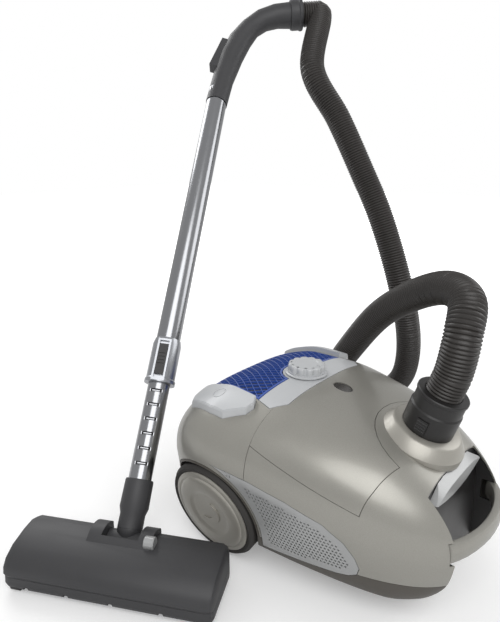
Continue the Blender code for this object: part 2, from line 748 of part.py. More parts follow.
def build_inlet():
    """The inlet's collar and duct, and the hose's cuff with its two release buttons."""
    profile = ((28, 9), (40, 9), (43, 7.5), (52, -6), (52, -30), (28, -30))
    collar = piece("inlet_collar", ringed("inlet_collar", profile, 28), SILVER, INLET_FRAME)
    cut(collar, body_form("collar_seat", -GAP), solver=SKIN_SOLVER)
    bore, wall = INLET_BORE / MM, DUCT_RADIUS / MM
    profile = ((bore, 8), (wall, 8), (wall, -45), (bore, -45))
    piece("inlet_duct", ringed("inlet_duct", profile, 20), BLACK, INLET_FRAME)
    cuff_axis = pivot("cuff_axis", INLET_FRAME)
    neck = bore - 2 * GAP / MM
    ring = CUFF_RADIUS / MM
    seat = HOSE_DIAMETER / 2 / MM + 0.6
    top = CUFF_END / MM
    profile = (
        (20, -10), (neck, -10), (neck, 9.4), (ring + 1.5, 9.4), (ring + 1.5, 38), (ring, 40),
        (ring, top - 5), (ring + 1.2, top - 4), (ring + 1.2, top - 1), (ring + 0.2, top), (seat, top),
        (seat, HOSE_SEAT / MM), (20, HOSE_SEAT / MM),
    )
    cuff = piece("hose_cuff", ringed("hose_cuff", profile, 24), BLACK, parent=cuff_axis)
    for side, word in SIDES:
        low = (BUTTON_INNER, -BUTTON_WIDE / 2, BUTTON_LOW)
        high = (CUFF_RADIUS + BUTTON_PROUD, BUTTON_WIDE / 2, BUTTON_HIGH)
        hole = box("button_hole_" + word, [v - GAP - BUTTON_TRAVEL * (i == 0) for i, v in enumerate(low)],
                   [v + GAP for v in high])
        turn = Matrix.Rotation(0 if side > 0 else math.pi, 4, "Z")
        cut(cuff, helper("button_hole_" + word, hole, turn, cuff_axis))
        button = piece("cuff_button_" + word, box("cuff_button", low, high), BLACK, turn, cuff_axis)
        grips = helper("button_grips_" + word, button_grips(), turn, cuff_axis)
        join(button, grips)


HOSE_SEAT = 40 * MM
BUTTON_WIDE = 14 * MM
BUTTON_INNER = 28.2 * MM
BUTTON_PROUD = 2.8 * MM
BUTTON_TRAVEL = 1.8 * MM
BUTTON_LOW = 14 * MM
BUTTON_HIGH = 31 * MM


def button_grips():
    """Cross ribs on the face of a cuff button."""
    shape = bmesh.new()
    face = CUFF_RADIUS + BUTTON_PROUD
    half = BUTTON_WIDE / 2 - 1 * MM
    for i in range(4):
        z = BUTTON_LOW + (3 + 3.6 * i) * MM
        section = [(face - 0.5 * MM, z - 1 * MM), (face + 1 * MM, z), (face - 0.5 * MM, z + 1 * MM)]
        ends = [[shape.verts.new((x, y, h)) for x, h in section] for y in (-half, half)]
        shape.faces.new(ends[0][::-1])
        shape.faces.new(ends[1])
        for k in range(3):
            n = (k + 1) % 3
            shape.faces.new((ends[0][k], ends[0][n], ends[1][n], ends[1][k]))
    return mesh_of("button_grips", shape)


build_nose()
build_inlet()


# ---------------------------------------------------------------- running gear


def build_wheels():
    outer = WHEEL_RADIUS / MM
    rim = (WHEEL_RADIUS - TYRE_DEPTH) / MM
    deep = WHEEL_WIDTH / MM
    hub = rim - GAP / MM
    bore = (AXLE_RADIUS + GAP) / MM
    axle = AXLE_RADIUS / MM
    tyre = (
        (rim, -1), (rim + 4, 0), (outer - 3, -0.6), (outer, -TYRE_SHOULDER / MM), (outer, 3 - deep),
        (outer - 3, -deep), (rim, -deep),
    )
    disc = (
        (bore, -deep), (14, -deep), (14, -9), (rim - 6, -9), (rim - 6, 1 - deep), (hub, 1 - deep),
        (hub, -2.2), (rim - 5, -2.2), (rim - 5, -5.8), (bore, -5.8),
    )
    cap = (
        (0, 1.2), (30, 1.2), (35, 3.4), (48, 3.0), (rim - 0.6, -0.4), (rim - 0.6, -1.9), (rim - 5.3, -1.9),
        (rim - 5.3, -5.5), (0, -5.5),
    )
    pin = ((0, -36), (10, -36), (10, -deep - 5 - WALL / MM - 0.3), (axle, -deep - 5 - WALL / MM - 0.3),
           (axle, -5.8), (0, -5.8))
    for side, word in SIDES:
        place = wheel_frame(side)
        piece("wheel_axle_" + word, ringed("wheel_axle", pin, 14), STEEL, place)
        axis = pivot("wheel_axis_" + word, place)
        piece("rear_tyre_" + word, ringed("rear_tyre", tyre, 24), RUBBER, parent=axis)
        piece("rear_hub_" + word, ringed("rear_hub", disc, 24), BLACK, parent=axis)
        piece("hub_cap_" + word, ringed("hub_cap", cap, 24), TAUPE, parent=axis)


def build_caster():
    """A swivelling fork whose moulded stem turns in the base, with a small wheel on a steel pin."""
    swivel = pivot("caster_axis", Matrix.Translation((0, CASTER_Y, 0)))
    stem = CASTER_STEM_RADIUS / MM
    roof = CASTER_WELL_TOP / MM
    head = roof + WALL / MM + 0.3
    profile = (
        (0, roof - 4), (19, roof - 4), (19, roof - 1), (stem + 2, roof - 0.3), (stem, roof - 0.3),
        (stem, head), (stem + 2.5, head), (stem + 2.5, head + 1.5), (0, head + 1.5),
    )
    fork = piece("caster_fork", ringed("caster_fork", profile, 20), BLACK, parent=swivel)
    inner = CASTER_WIDTH / 2 + GAP * 2
    outline = (
        (-9 * MM, CASTER_WELL_TOP - 3 * MM), (-2 * MM, CASTER_RADIUS - 6 * MM),
        (CASTER_TRAIL, CASTER_RADIUS - 6.5 * MM), (CASTER_TRAIL + 6 * MM, CASTER_RADIUS),
        (16 * MM, CASTER_WELL_TOP - 3 * MM),
    )
    for side, word in SIDES:
        low, high = sorted((side * inner, side * (inner + 3 * MM)))
        cheek = side_prism("fork_cheek_" + word, outline, low, high)
        join(fork, helper("fork_cheek_" + word, cheek, parent=swivel))
    place = frame_at((0, CASTER_TRAIL, CASTER_RADIUS), (1, 0, 0), (0, 1, 0))
    pin_hole = rod("caster_pin_hole", CASTER_AXLE_RADIUS + GAP, -40 * MM, 40 * MM, 16)
    cut(fork, helper("caster_pin_hole", pin_hole, place, swivel))
    reach = inner + 3 * MM
    piece("caster_axle", rod("caster_axle", CASTER_AXLE_RADIUS, -reach, reach, 16), STEEL, place, swivel)
    axis = pivot("caster_wheel_axis", place, swivel)
    half, full = CASTER_WIDTH / 2 / MM, CASTER_RADIUS / MM
    bore = (CASTER_AXLE_RADIUS + GAP) / MM
    profile = (
        (bore, -half), (full - 4, -half), (full - 1, -half + 0.6), (full, -half + 3), (full, half - 3),
        (full - 1, half - 0.6), (full - 4, half), (bore, half),
    )
    piece("caster_wheel", ringed("caster_wheel", profile, 18), RUBBER, parent=axis)


build_wheels()
build_caster()


# ---------------------------------------------------------------- inside the canister

MOTOR_CENTRE = Vector((50 * MM, 0, 95 * MM))
MOTOR_RADIUS = 50 * MM
REEL_CENTRE = Vector((-58 * MM, 14 * MM, 95 * MM))
REEL_RADIUS = 60 * MM
REEL_HALF = 28 * MM
BULKHEAD_Y = -58 * MM


def build_inside():
    bulkhead = box("bulkhead", (-FAR, BULKHEAD_Y - 1.5 * MM, 0), (FAR, BULKHEAD_Y + 1.5 * MM, 215 * MM))
    bulkhead = piece("bulkhead", bulkhead, DARK_TAUPE)
    keep(bulkhead, ROOM, solver=SKIN_SOLVER)
    motor_place = frame_at(MOTOR_CENTRE, (0, 1, 0), (1, 0, 0))
    hole = helper("motor_hole", rod("motor_hole", 30 * MM, -100 * MM, 0, 32), motor_place)
    cut(bulkhead, hole, solver=SKIN_SOLVER)
    start = BULKHEAD_Y / MM + 1.8
    wide = MOTOR_RADIUS / MM
    profile = (
        (24, start), (wide, start), (wide, -16), (wide - 4, -12), (wide - 9, -12), (wide - 9, 38),
        (wide - 14, 44), (18, 44), (18, 58), (0, 58), (0, start + 12), (24, start + 12),
    )
    piece("motor_unit", ringed("motor_unit", profile, 18), STEEL, motor_place)
    filter_low = (0, BULKHEAD_Y - 8 * MM, 45 * MM)
    filter_high = (100 * MM, BULKHEAD_Y - 1.8 * MM, 145 * MM)
    piece("motor_filter", box("motor_filter", filter_low, filter_high), FOAM)
    build_reel()
    build_bag()
    low = (-20 * MM, BULKHEAD_Y + 1.8 * MM, 202 * MM)
    high = (20 * MM, -28 * MM, KNOB_SEAT_Z - 9 * MM - GAP)
    piece("speed_control", box("speed_control", low, high), BLACK)
    bush = CORD_BUSH_RADIUS / MM
    profile = ((4.5, -8), (bush, -8), (bush, 0.3), (bush + 3, 0.3), (bush + 2.4, 2.2), (4.5, 2.6))
    piece("cord_outlet", ringed("cord_outlet", profile, 14), BLACK, CORD_FRAME)


def build_reel():
    """The mains cord's drum on a stub axle that stands out from a bracket."""
    half, wide = REEL_HALF / MM, REEL_RADIUS / MM
    place = frame_at(REEL_CENTRE, (1, 0, 0), (0, 1, 0))
    axis = pivot("reel_axis", place)
    profile = (
        (6.3, -half), (wide, -half), (wide, 2 - half), (34, 2 - half), (34, half - 2), (wide, half - 2),
        (wide, half), (6.3, half),
    )
    piece("cord_reel", ringed("cord_reel", profile, 20), BLACK, parent=axis)
    plate_x = REEL_CENTRE.x - REEL_HALF - 0.6 * MM
    floor = BODY_FLOOR[1][1] * MM
    top = REEL_CENTRE.z + 14 * MM
    outline = (
        (REEL_CENTRE.y - 34 * MM, floor), (REEL_CENTRE.y + 34 * MM, floor),
        (REEL_CENTRE.y + 12 * MM, top), (REEL_CENTRE.y - 12 * MM, top),
    )
    bracket = piece("reel_bracket", side_prism("reel_bracket", outline, plate_x - 3 * MM, plate_x), STEEL)
    keep(bracket, ROOM, solver=SKIN_SOLVER)
    axle = rod("reel_axle", 6 * MM, -REEL_HALF - 2 * MM, REEL_HALF, 20)
    join(bracket, helper("reel_axle", axle, place))


def build_bag():
    """The paper dust bag under its card collar, resting on the caster well's roof."""
    low = CASTER_WELL_TOP + WALL + 1.5 * MM + 2 * GAP
    rings = []
    for i in range(7):
        share = i / 6
        y = (-206 + 132 * share) * MM
        swell = math.sin(math.pi * (0.12 + 0.76 * share)) ** 0.5
        ring = []
        for k in range(16):
            turn = 2 * math.pi * (k + 0.5) / 16
            across = math.copysign(abs(math.cos(turn)) ** 0.6, math.cos(turn)) * 92 * MM * swell
            tall = math.copysign(abs(math.sin(turn)) ** 0.6, math.sin(turn)) * 58 * MM
            ring.append(Vector((across, y, low + 58 * MM + tall)))
        rings.append(ring)
    bag = piece("dust_bag", loft("dust_bag", rings), PAPER)
    under = -45 * MM - GAP
    thick = 3 * MM
    above = rod("bag_collar_plane", 300 * MM, under - thick - GAP, 200 * MM, 24)
    mouth = rod("bag_mouth", 20 * MM, -80 * MM, 0, 24)
    mouth = helper("bag_mouth", mouth, INLET_FRAME)
    cut(bag, helper("bag_collar_plane", above, INLET_FRAME), mouth)
    collar = box("bag_collar", (-36 * MM, -34 * MM, under - thick), (36 * MM, 34 * MM, under))
    cut(piece("bag_collar", collar, CARD, INLET_FRAME), mouth)


build_inside()
# ---------------------------------------------------------------- wand

WAND_AXIS = (WAND_TOP - NECK).normalized()
WAND_ACROSS = Vector((0.571, -0.813, -0.110))
WAND_FRAME = frame_at(NECK, WAND_AXIS, WAND_ACROSS)
TUBE_TOP = (WAND_TOP - NECK).length
LOWER_TUBE_BOTTOM = 26 * MM
LOWER_TUBE_TOP = 470 * MM
LATCH_LOW = 198 * MM
LATCH_HIGH = 242 * MM
LATCH_TRAVEL = 5 * MM
SLEEVE_RADIUS = 20.5 * MM
NOTCH_FIRST = 76 * MM
NOTCH_PITCH = 20 * MM


def tube_profile(radius, low, high, wall):
    return ((radius - wall, low), (radius, low), (radius, high), (radius - wall, high))


def build_wand():
    """The telescopic tubes, their sleeve and its latch, and the socket at the foot."""
    upper = tube_profile(UPPER_TUBE_RADIUS, SLEEVE_LOW + 24 * MM, TUBE_TOP + 28 * MM, TUBE_WALL)
    piece("upper_tube", turned("upper_tube", upper, 24), CHROME, WAND_FRAME)
    inner, outer = UPPER_TUBE_RADIUS + GAP, SLEEVE_RADIUS
    guide = LOWER_TUBE_RADIUS + GAP
    step = SLEEVE_LOW + 24 * MM - GAP
    profile = (
        (guide, SLEEVE_LOW), (outer + 1.4 * MM, SLEEVE_LOW), (outer + 1.4 * MM, SLEEVE_LOW + 5 * MM),
        (outer, SLEEVE_LOW + 7 * MM), (outer, SLEEVE_HIGH - 8 * MM), (inner + 0.8 * MM, SLEEVE_HIGH),
        (inner, SLEEVE_HIGH), (inner, step), (guide, step),
    )
    sleeve = piece("tube_sleeve", turned("tube_sleeve", profile, 24), STEEL, WAND_FRAME)
    wide, face = 6.5 * MM, SLEEVE_RADIUS + 2.5 * MM
    slot_floor = SLEEVE_RADIUS - 2.2 * MM
    housing = box("latch_housing", (-wide - 3 * MM, -face + 0.8 * MM, LATCH_LOW - LATCH_TRAVEL - 4 * MM),
                  (wide + 3 * MM, -slot_floor, LATCH_HIGH + LATCH_TRAVEL + 3 * MM))
    join(sleeve, helper("latch_housing", housing, WAND_FRAME))
    slot = box("latch_slot", (-wide - GAP, -FAR, LATCH_LOW - LATCH_TRAVEL), (wide + GAP, -slot_floor, LATCH_HIGH + LATCH_TRAVEL))
    cut(sleeve, helper("latch_slot", slot, WAND_FRAME))
    latch = box("tube_latch", (-wide, -face - 0.5 * MM, LATCH_LOW), (wide, -slot_floor - GAP, LATCH_HIGH))
    latch = piece("tube_latch", latch, BLACK, WAND_FRAME)
    for i in range(4):
        z = (LATCH_LOW + LATCH_HIGH) / 2 + (i - 1.5) * 5 * MM
        groove = box("latch_groove", (-wide + 2 * MM, -FAR, z - 0.9 * MM), (wide - 2 * MM, -face + 0.5 * MM, z + 0.9 * MM))
        cut(latch, helper("latch_groove_" + str(i), groove, WAND_FRAME))
    lower = tube_profile(LOWER_TUBE_RADIUS, LOWER_TUBE_BOTTOM, LOWER_TUBE_TOP, TUBE_WALL)
    lower = piece("lower_tube", turned("lower_tube", lower, 24), CHROME, WAND_FRAME)
    for i in range(6):
        z = NOTCH_FIRST + i * NOTCH_PITCH
        notch = box("tube_notch", (-6 * MM, -FAR, z - 2 * MM), (6 * MM, -LOWER_TUBE_RADIUS + 0.6 * MM, z + 2 * MM))
        cut(lower, helper("tube_notch_" + str(i), notch, WAND_FRAME))
    bore = LOWER_TUBE_RADIUS + GAP
    profile = (
        (13.7 * MM, -6 * MM), (16.6 * MM, -6 * MM), (16.6 * MM, 12 * MM), (19.2 * MM, 20 * MM),
        (18.8 * MM, SOCKET_HIGH - 2 * MM), (18 * MM, SOCKET_HIGH), (bore, SOCKET_HIGH),
        (bore, LOWER_TUBE_BOTTOM - GAP), (13.7 * MM, LOWER_TUBE_BOTTOM - GAP),
    )
    piece("neck_tube", turned("neck_tube", profile, 20), GRAPHITE, WAND_FRAME)


# Handle: its middle line and half depth from the wand's top, along the wand and across it.
HANDLE_LINE = ((0, 0), (54, 3), (109, 10), (150, 20), (182, 34), (206, 54), (220, 78), (226, 104))
HANDLE_HALF = (19, 19.5, 22, 22, 20, 21, 22, 23)
HANDLE_HALF_WIDTH = (19, 18, 18.5, 18.5, 18, 19, 21, 23)
HANDLE_BORE = 13 * MM
HANDLE_SOCKET = 30 * MM


def handle_point(along, across):
    return Vector((across * MM, 0, TUBE_TOP + along * MM))


def handle_rings(halves, widths, extend, sides=16):
    """Rings of the handle's tube, square to its middle line, with its two ends drawn out."""
    spots = [handle_point(*spot) for spot in HANDLE_LINE]
    rings = []
    for i, spot in enumerate(spots):
        before, after = spots[max(i - 1, 0)], spots[min(i + 1, len(spots) - 1)]
        forward = (after - before).normalized()
        sideways = Vector((0, 1, 0)).cross(forward)
        if i in (0, len(spots) - 1):
            spot = spot + forward * (extend if i else -extend)
        ring = []
        for k in range(sides):
            turn = 2 * math.pi * k / sides
            ring.append(spot + sideways * math.cos(turn) * halves[i] + Vector((0, math.sin(turn) * widths[i], 0)))
        rings.append(ring)
    return rings


def build_handle():
    halves = [value * MM for value in HANDLE_HALF]
    widths = [value * MM for value in HANDLE_HALF_WIDTH]
    handle = piece("handle", loft("handle", handle_rings(halves, widths, 0)), GRAPHITE, WAND_FRAME)
    count = len(HANDLE_LINE)
    bore = loft("handle_bore", handle_rings([HANDLE_BORE] * count, [HANDLE_BORE] * count, 4 * MM, 12))
    cut(handle, helper("handle_bore", bore, WAND_FRAME))
    socket = rod("handle_socket", UPPER_TUBE_RADIUS + GAP, TUBE_TOP - 10 * MM, TUBE_TOP + 28 * MM + GAP, 24)
    cut(handle, helper("handle_socket", socket, WAND_FRAME))
    rail = handle_point(BLEED_ALONG, BLEED_ACROSS)
    lean = Matrix.Rotation(BLEED_LEAN, 4, "Y")
    place = WAND_FRAME @ Matrix.Translation(rail) @ lean
    low, high = (-9 * MM, -10 * MM, -36 * MM), (6 * MM, 10 * MM, 30 * MM)
    housing = box("bleed_housing", low, high)
    join(handle, helper("bleed_housing", housing, place))
    slot = box("bleed_slot", (-20 * MM, -7 * MM, -30 * MM), (-6 * MM, 7 * MM, 24 * MM))
    cut(handle, helper("bleed_slot", slot, place))
    axis = pivot("bleed_axis", place)
    slider = box("bleed_slider", (-10 * MM, -6.7 * MM, -8 * MM), (-6.3 * MM, 6.7 * MM, 22 * MM))
    piece("bleed_slider", slider, GRAPHITE, parent=axis)


BLEED_ALONG = 112
BLEED_ACROSS = -9
BLEED_LEAN = 12 * DEGREE


def build_collar():
    """The collar that turns on the handle's end and carries the hose."""
    end = handle_point(*HANDLE_LINE[-1])
    forward = (end - handle_point(*HANDLE_LINE[-2])).normalized()
    place = WAND_FRAME @ frame_at(end + forward * GAP, forward, (0, 1, 0))
    axis = pivot("collar_axis", place)
    seat = HOSE_DIAMETER / 2 / MM + 0.6
    profile = (
        (12, -8), (12, 0), (25.5, 0), (26.5, 3), (26.5, 15), (28, 17), (28, 20), (27, 22), (seat, 22),
        (seat, 12), (10.6, 12), (10.6, -8),
    )
    piece("hose_end_collar", ringed("hose_end_collar", profile, 20), GRAPHITE, parent=axis)
    return place


build_wand()
build_handle()
COLLAR_PLACE = build_collar()


# ---------------------------------------------------------------- floor head

ELBOW_DOWN = 22 * MM
ELBOW_CENTRE = NECK - WAND_AXIS * ELBOW_DOWN
HEAD_AXIS = Vector((WAND_AXIS.y, -WAND_AXIS.x, 0)).normalized()
HEAD_BACK = Vector((-HEAD_AXIS.y, HEAD_AXIS.x, 0))
HEAD_ORIGIN = Vector((ELBOW_CENTRE.x, ELBOW_CENTRE.y, 0)) - HEAD_BACK * HEAD_ELBOW_BEHIND
HEAD_FRAME = frame_at(HEAD_ORIGIN, (0, 0, 1), HEAD_AXIS)
BARREL_RADIUS = 14 * MM
BARREL_HALF = 24 * MM
TRUNNION_RADIUS = 5 * MM
HEAD_SECTION = ((-42, 22.4), (-44.5, 27), (-43, 36), (-36, 45), (-20, 53), (6, 58), (26, 59), (38, 55), (43, 46), (43, 22.4))
SOLE_SECTION = ((-41, 7), (-43, 12), (-42, 22), (43, 22), (43, 12), (40, 7))
BRUSH_PLACE = (-14 * MM, 22 * MM)
BRUSH_RADIUS = 20 * MM
BRUSH_HALF = 112 * MM
BRUSH_SHAFT_RADIUS = 4 * MM
BRUSH_SHAFT_REACH = 9 * MM
ROLLER_RADIUS = 11 * MM


def head_loft(name, section, half, ends):
    """A section in Y and Z swept along the head, drawn in towards its two ends."""
    rings = []
    for x, share in ends:
        ring = []
        for y, z in section:
            ring.append(Vector((x * half, (y * share + 2 * (1 - share)) * MM, (22 + (z - 22) * share) * MM)))
        rings.append(ring)
    return loft(name, rings)


def along_head(name, mesh, y, z, x=0.0):
    """A helper turned about a line along the head."""
    place = HEAD_FRAME @ frame_at((x, y, z), (1, 0, 0), (0, 1, 0))
    return helper(name, mesh, place, HEAD_AXIS_PIVOT)


def build_head():
    half = HEAD_LENGTH / 2
    elbow_y, elbow_z = HEAD_ELBOW_BEHIND, ELBOW_CENTRE.z
    ends = ((-1, 0.82), (-0.985, 0.94), (-0.94, 1), (0.94, 1), (0.985, 0.94), (1, 0.82))
    cover = piece("head_cover", head_loft("head_cover", HEAD_SECTION, half, ends), GRAPHITE, HEAD_FRAME)
    hump = rod("elbow_hump", 29 * MM, -42 * MM, 42 * MM, 28)
    hump = along_head("elbow_hump", hump, elbow_y - 6 * MM, elbow_z - 4 * MM)
    join(cover, hump)
    trim = helper("hump_trim", box("hump_trim", (-FAR, -FAR, 22.4 * MM), (FAR, 43 * MM, FAR)), HEAD_FRAME)
    keep(cover, trim)
    chamber = rod("brush_chamber", BRUSH_RADIUS + 3 * MM, -BRUSH_HALF - 3 * MM, BRUSH_HALF + 3 * MM, 20)
    chamber = along_head("brush_chamber", chamber, *BRUSH_PLACE)
    shaft_reach = BRUSH_HALF + BRUSH_SHAFT_REACH + GAP
    seats = along_head("brush_seats", rod("brush_seats", BRUSH_SHAFT_RADIUS + GAP, -shaft_reach, shaft_reach), *BRUSH_PLACE)
    cut(cover, chamber, seats)
    pocket_low = (-BARREL_HALF - GAP * 2, elbow_y - 20 * MM, 15 * MM)
    pocket_high = (BARREL_HALF + GAP * 2, 80 * MM, 100 * MM)
    pocket = helper("elbow_pocket", box("elbow_pocket", pocket_low, pocket_high), HEAD_FRAME)
    ears = along_head("ear_bores", rod("ear_bores", TRUNNION_RADIUS + GAP, -36 * MM, 36 * MM), elbow_y, elbow_z)
    cut(cover, pocket, ears)
    sole = piece("head_sole", head_loft("head_sole", SOLE_SECTION, half, ends), GRAPHITE, HEAD_FRAME)
    slot_low = (-BRUSH_HALF - 3 * MM, BRUSH_PLACE[0] - 17 * MM, -FAR)
    slot_high = (BRUSH_HALF + 3 * MM, BRUSH_PLACE[0] + 17 * MM, FAR)
    cut(sole, helper("brush_slot", box("brush_slot", slot_low, slot_high), HEAD_FRAME), chamber, seats)
    brush = brush_mesh()
    brush_place = HEAD_FRAME @ frame_at((0, *BRUSH_PLACE), (1, 0, 0), (0, 1, 0))
    piece("brush_roll", brush, BLUE, brush_place)
    build_rollers(sole, cover)
    build_elbow()


def brush_mesh():
    """A roller with six twisted rows of bristle, drawn as one fluted form."""
    rings = []
    steps = 8
    for i in range(steps):
        z = (2 * i / (steps - 1) - 1) * BRUSH_HALF
        twist = 1.6 * abs(z) / BRUSH_HALF
        ring = []
        for k in range(18):
            angle = 2 * math.pi * k / 18
            tall = BRUSH_RADIUS if k % 3 == 0 else 14 * MM
            spot = (tall * math.cos(angle + twist), tall * math.sin(angle + twist), z)
            ring.append(Vector(spot))
        rings.append(ring)
    for end in (-1, 1):
        for z in (BRUSH_HALF, BRUSH_HALF + BRUSH_SHAFT_REACH):
            shaft = []
            for k in range(18):
                angle = 2 * math.pi * k / 18 + 1.6
                shaft.append(Vector((BRUSH_SHAFT_RADIUS * math.cos(angle), BRUSH_SHAFT_RADIUS * math.sin(angle), end * z)))
            rings.insert(0 if end < 0 else len(rings), shaft)
    return loft("brush_roll", rings)


def build_rollers(sole, cover):
    """Two wheels at the front corners and two ribbed rollers behind."""
    for side, word in SIDES:
        place = (side * 121 * MM, -34 * MM, 6.6 * MM)
        spots = (("head_wheel_" + word, 6.6 * MM, 6 * MM, place, BLACK),
                 ("rear_roller_" + word, ROLLER_RADIUS, 17 * MM, (side * 68 * MM, 30 * MM, ROLLER_RADIUS), SILVER))
        for name, radius, half, spot, material in spots:
            where = HEAD_FRAME @ frame_at(spot, (1, 0, 0), (0, 1, 0))
            axis = pivot(name + "_axis", where)
            space = rod(name + "_space", radius + 1.2 * MM, -half - GAP * 2, half + GAP * 2)
            space = helper(name + "_space", space, parent=axis)
            cut(sole, space)
            cut(cover, space)
            piece(name, rod(name, radius, -half, half, 20), material, parent=axis)


def build_elbow():
    """The swivelling elbow: a spigot up into the neck and a barrel on two trunnions."""
    down = -ELBOW_DOWN
    profile = (
        (10 * MM, 22 * MM), (13.4 * MM, 22 * MM), (13.4 * MM, -6.3 * MM), (16.6 * MM, -6.3 * MM),
        (16.6 * MM, -9 * MM), (12 * MM, down + 2 * MM), (0, down), (0, down + 8 * MM), (10 * MM, down + 9 * MM),
    )
    elbow = piece("elbow", turned("elbow", profile, 18), GRAPHITE, WAND_FRAME)
    barrel_place = frame_at(ELBOW_CENTRE, HEAD_AXIS, WAND_AXIS)
    ear, wide = TRUNNION_RADIUS / MM, BARREL_RADIUS / MM
    half = BARREL_HALF / MM
    reach = half + 9
    profile = (
        (0, -reach), (ear, -reach), (ear, -half), (wide, -half), (wide, half), (ear, half), (ear, reach), (0, reach),
    )
    join(elbow, helper("elbow_barrel", ringed("elbow_barrel", profile, 18), barrel_place))


HEAD_AXIS_PIVOT = pivot("head_axis", Matrix.Identity(4))
build_head()


# ---------------------------------------------------------------- hose

INLET_AXIS = INLET_FRAME.col[2].to_3d()
COLLAR_AXIS = COLLAR_PLACE.col[2].to_3d()
HOSE_START = INLET + INLET_AXIS * (HOSE_SEAT + GAP)
HOSE_FINISH = COLLAR_PLACE.translation + COLLAR_AXIS * (12 * MM + GAP)
HOSE_RIBS = 72
RIB_DEPTH = 2.2 * MM
BORE_POINTS = 44
HOSE_ROUTE = in_mm(
    (6, -250, 330), (34, -240, 360), (72, -200, 362), (112, -138, 332), (149, -72, 282), (180, -8, 205),
    (203, 45, 130), (232, 98, 72), (272, 140, 33), (325, 160, 24), (378, 146, 24), (410, 96, 25),
    (408, 36, 40), (382, -10, 82), (350, -38, 140), (325, -45, 215), (315, -24, 307), (314, 17, 410),
    (313, 60, 490), (308, 110, 580), (306, 168, 668),
)


def smooth_route():
    """Points along the hose's middle line, an even step apart."""
    spots = [HOSE_START, HOSE_START + INLET_AXIS * HOSE_DIAMETER]
    spots += [Vector(spot) for spot in HOSE_ROUTE]
    spots += [HOSE_FINISH + COLLAR_AXIS * HOSE_DIAMETER, HOSE_FINISH]
    fine = []
    for i in range(len(spots) - 1):
        a, b = spots[i], spots[i + 1]
        before = spots[i - 1] if i else a - (b - a)
        after = spots[i + 2] if i + 2 < len(spots) else b + (b - a)
        straight = i in (0, len(spots) - 2)
        for k in range(12):
            t = k / 12
            if straight:
                fine.append(a.lerp(b, t))
                continue
            start, end = (b - before) / 2, (after - a) / 2
            point = a * (2 * t**3 - 3 * t**2 + 1) + start * (t**3 - 2 * t**2 + t)
            fine.append(point + b * (3 * t**2 - 2 * t**3) + end * (t**3 - t**2))
    fine.append(spots[-1])
    return fine


def spaced(points, count):
    """The same line read at a count of points an even distance apart."""
    reach = [0.0]
    for a, b in zip(points, points[1:]):
        reach.append(reach[-1] + (b - a).length)
    found = []
    index = 0
    for i in range(count):
        want = reach[-1] * i / (count - 1)
        while index < len(points) - 2 and reach[index + 1] < want:
            index += 1
        share = (want - reach[index]) / (reach[index + 1] - reach[index])
        found.append(points[index].lerp(points[index + 1], share))
    return found, reach[-1]


def tube_mesh(name, points, radii, resolution):
    """A tube through points, as the mesh of a bevelled curve."""
    curve = bpy.data.curves.new(name, "CURVE")
    curve.dimensions = "3D"
    curve.bevel_depth = 1
    curve.bevel_resolution = resolution
    curve.use_fill_caps = True
    line = curve.splines.new("POLY")
    line.points.add(len(points) - 1)
    for spot, point, radius in zip(line.points, points, radii):
        spot.co = (*point, 1)
        spot.radius = radius
    guide = bpy.data.objects.new(name, curve)
    bpy.context.collection.objects.link(guide)
    mesh = bpy.data.meshes.new_from_object(guide.evaluated_get(bpy.context.evaluated_depsgraph_get()))
    bpy.data.objects.remove(guide, do_unlink=True)
    shape = bmesh.new()
    shape.from_mesh(mesh)
    bmesh.ops.remove_doubles(shape, verts=shape.verts, dist=1e-6)
    bmesh.ops.triangulate(shape, faces=[face for face in shape.faces if len(face.verts) > 4])
    return mesh_of(name, shape)


def build_hose():
    """The ribbed suction hose, with its bore."""
    fine = smooth_route()
    points, length = spaced(fine, 2 * HOSE_RIBS)
    outer = HOSE_DIAMETER / 2
    radii = [outer - RIB_DEPTH * (i % 2) for i in range(len(points))]
    hose = piece("hose", tube_mesh("hose", points, radii, 2), BLACK)
    middle, _ = spaced(fine, BORE_POINTS)
    ahead = (middle[0] - middle[1]).normalized()
    behind = (middle[-1] - middle[-2]).normalized()
    middle[0] += ahead * 2 * MM
    middle[-1] += behind * 2 * MM
    bore = helper("hose_bore", tube_mesh("hose_bore", middle, [HOSE_BORE / 2] * BORE_POINTS, 2))
    cut(hose, bore, solver=SKIN_SOLVER)
    print("hose length", round(length, 4))


build_hose()


def centre_part(cords):
    """Moves the whole so that its box, without its cords, stands centred on the origin."""
    bpy.context.view_layer.update()
    graph = bpy.context.evaluated_depsgraph_get()
    low, high = Vector((FAR, FAR, FAR)) * 9, Vector((-FAR, -FAR, -FAR)) * 9
    for made in bpy.context.view_layer.objects:
        if made.type != "MESH" or made.hide_render or made.name in cords:
            continue
        solid = made.evaluated_get(graph)
        mesh = solid.to_mesh()
        for vertex in mesh.vertices:
            spot = solid.matrix_world @ vertex.co
            low = Vector(map(min, low, spot))
            high = Vector(map(max, high, spot))
        solid.to_mesh_clear()
    ROOT.location = (-(low.x + high.x) / 2, -(low.y + high.y) / 2, -low.z)


centre_part(["hose"])
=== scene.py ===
"""The canister vacuum cleaner's looks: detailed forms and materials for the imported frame.

Metres, +Z up. Forms are modelled in the canister's frame, whose origin lies on the floor
under the middle of the rear axle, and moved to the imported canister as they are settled.
"""

import json
import math

import bmesh
import bpy
from mathutils import Matrix, Vector


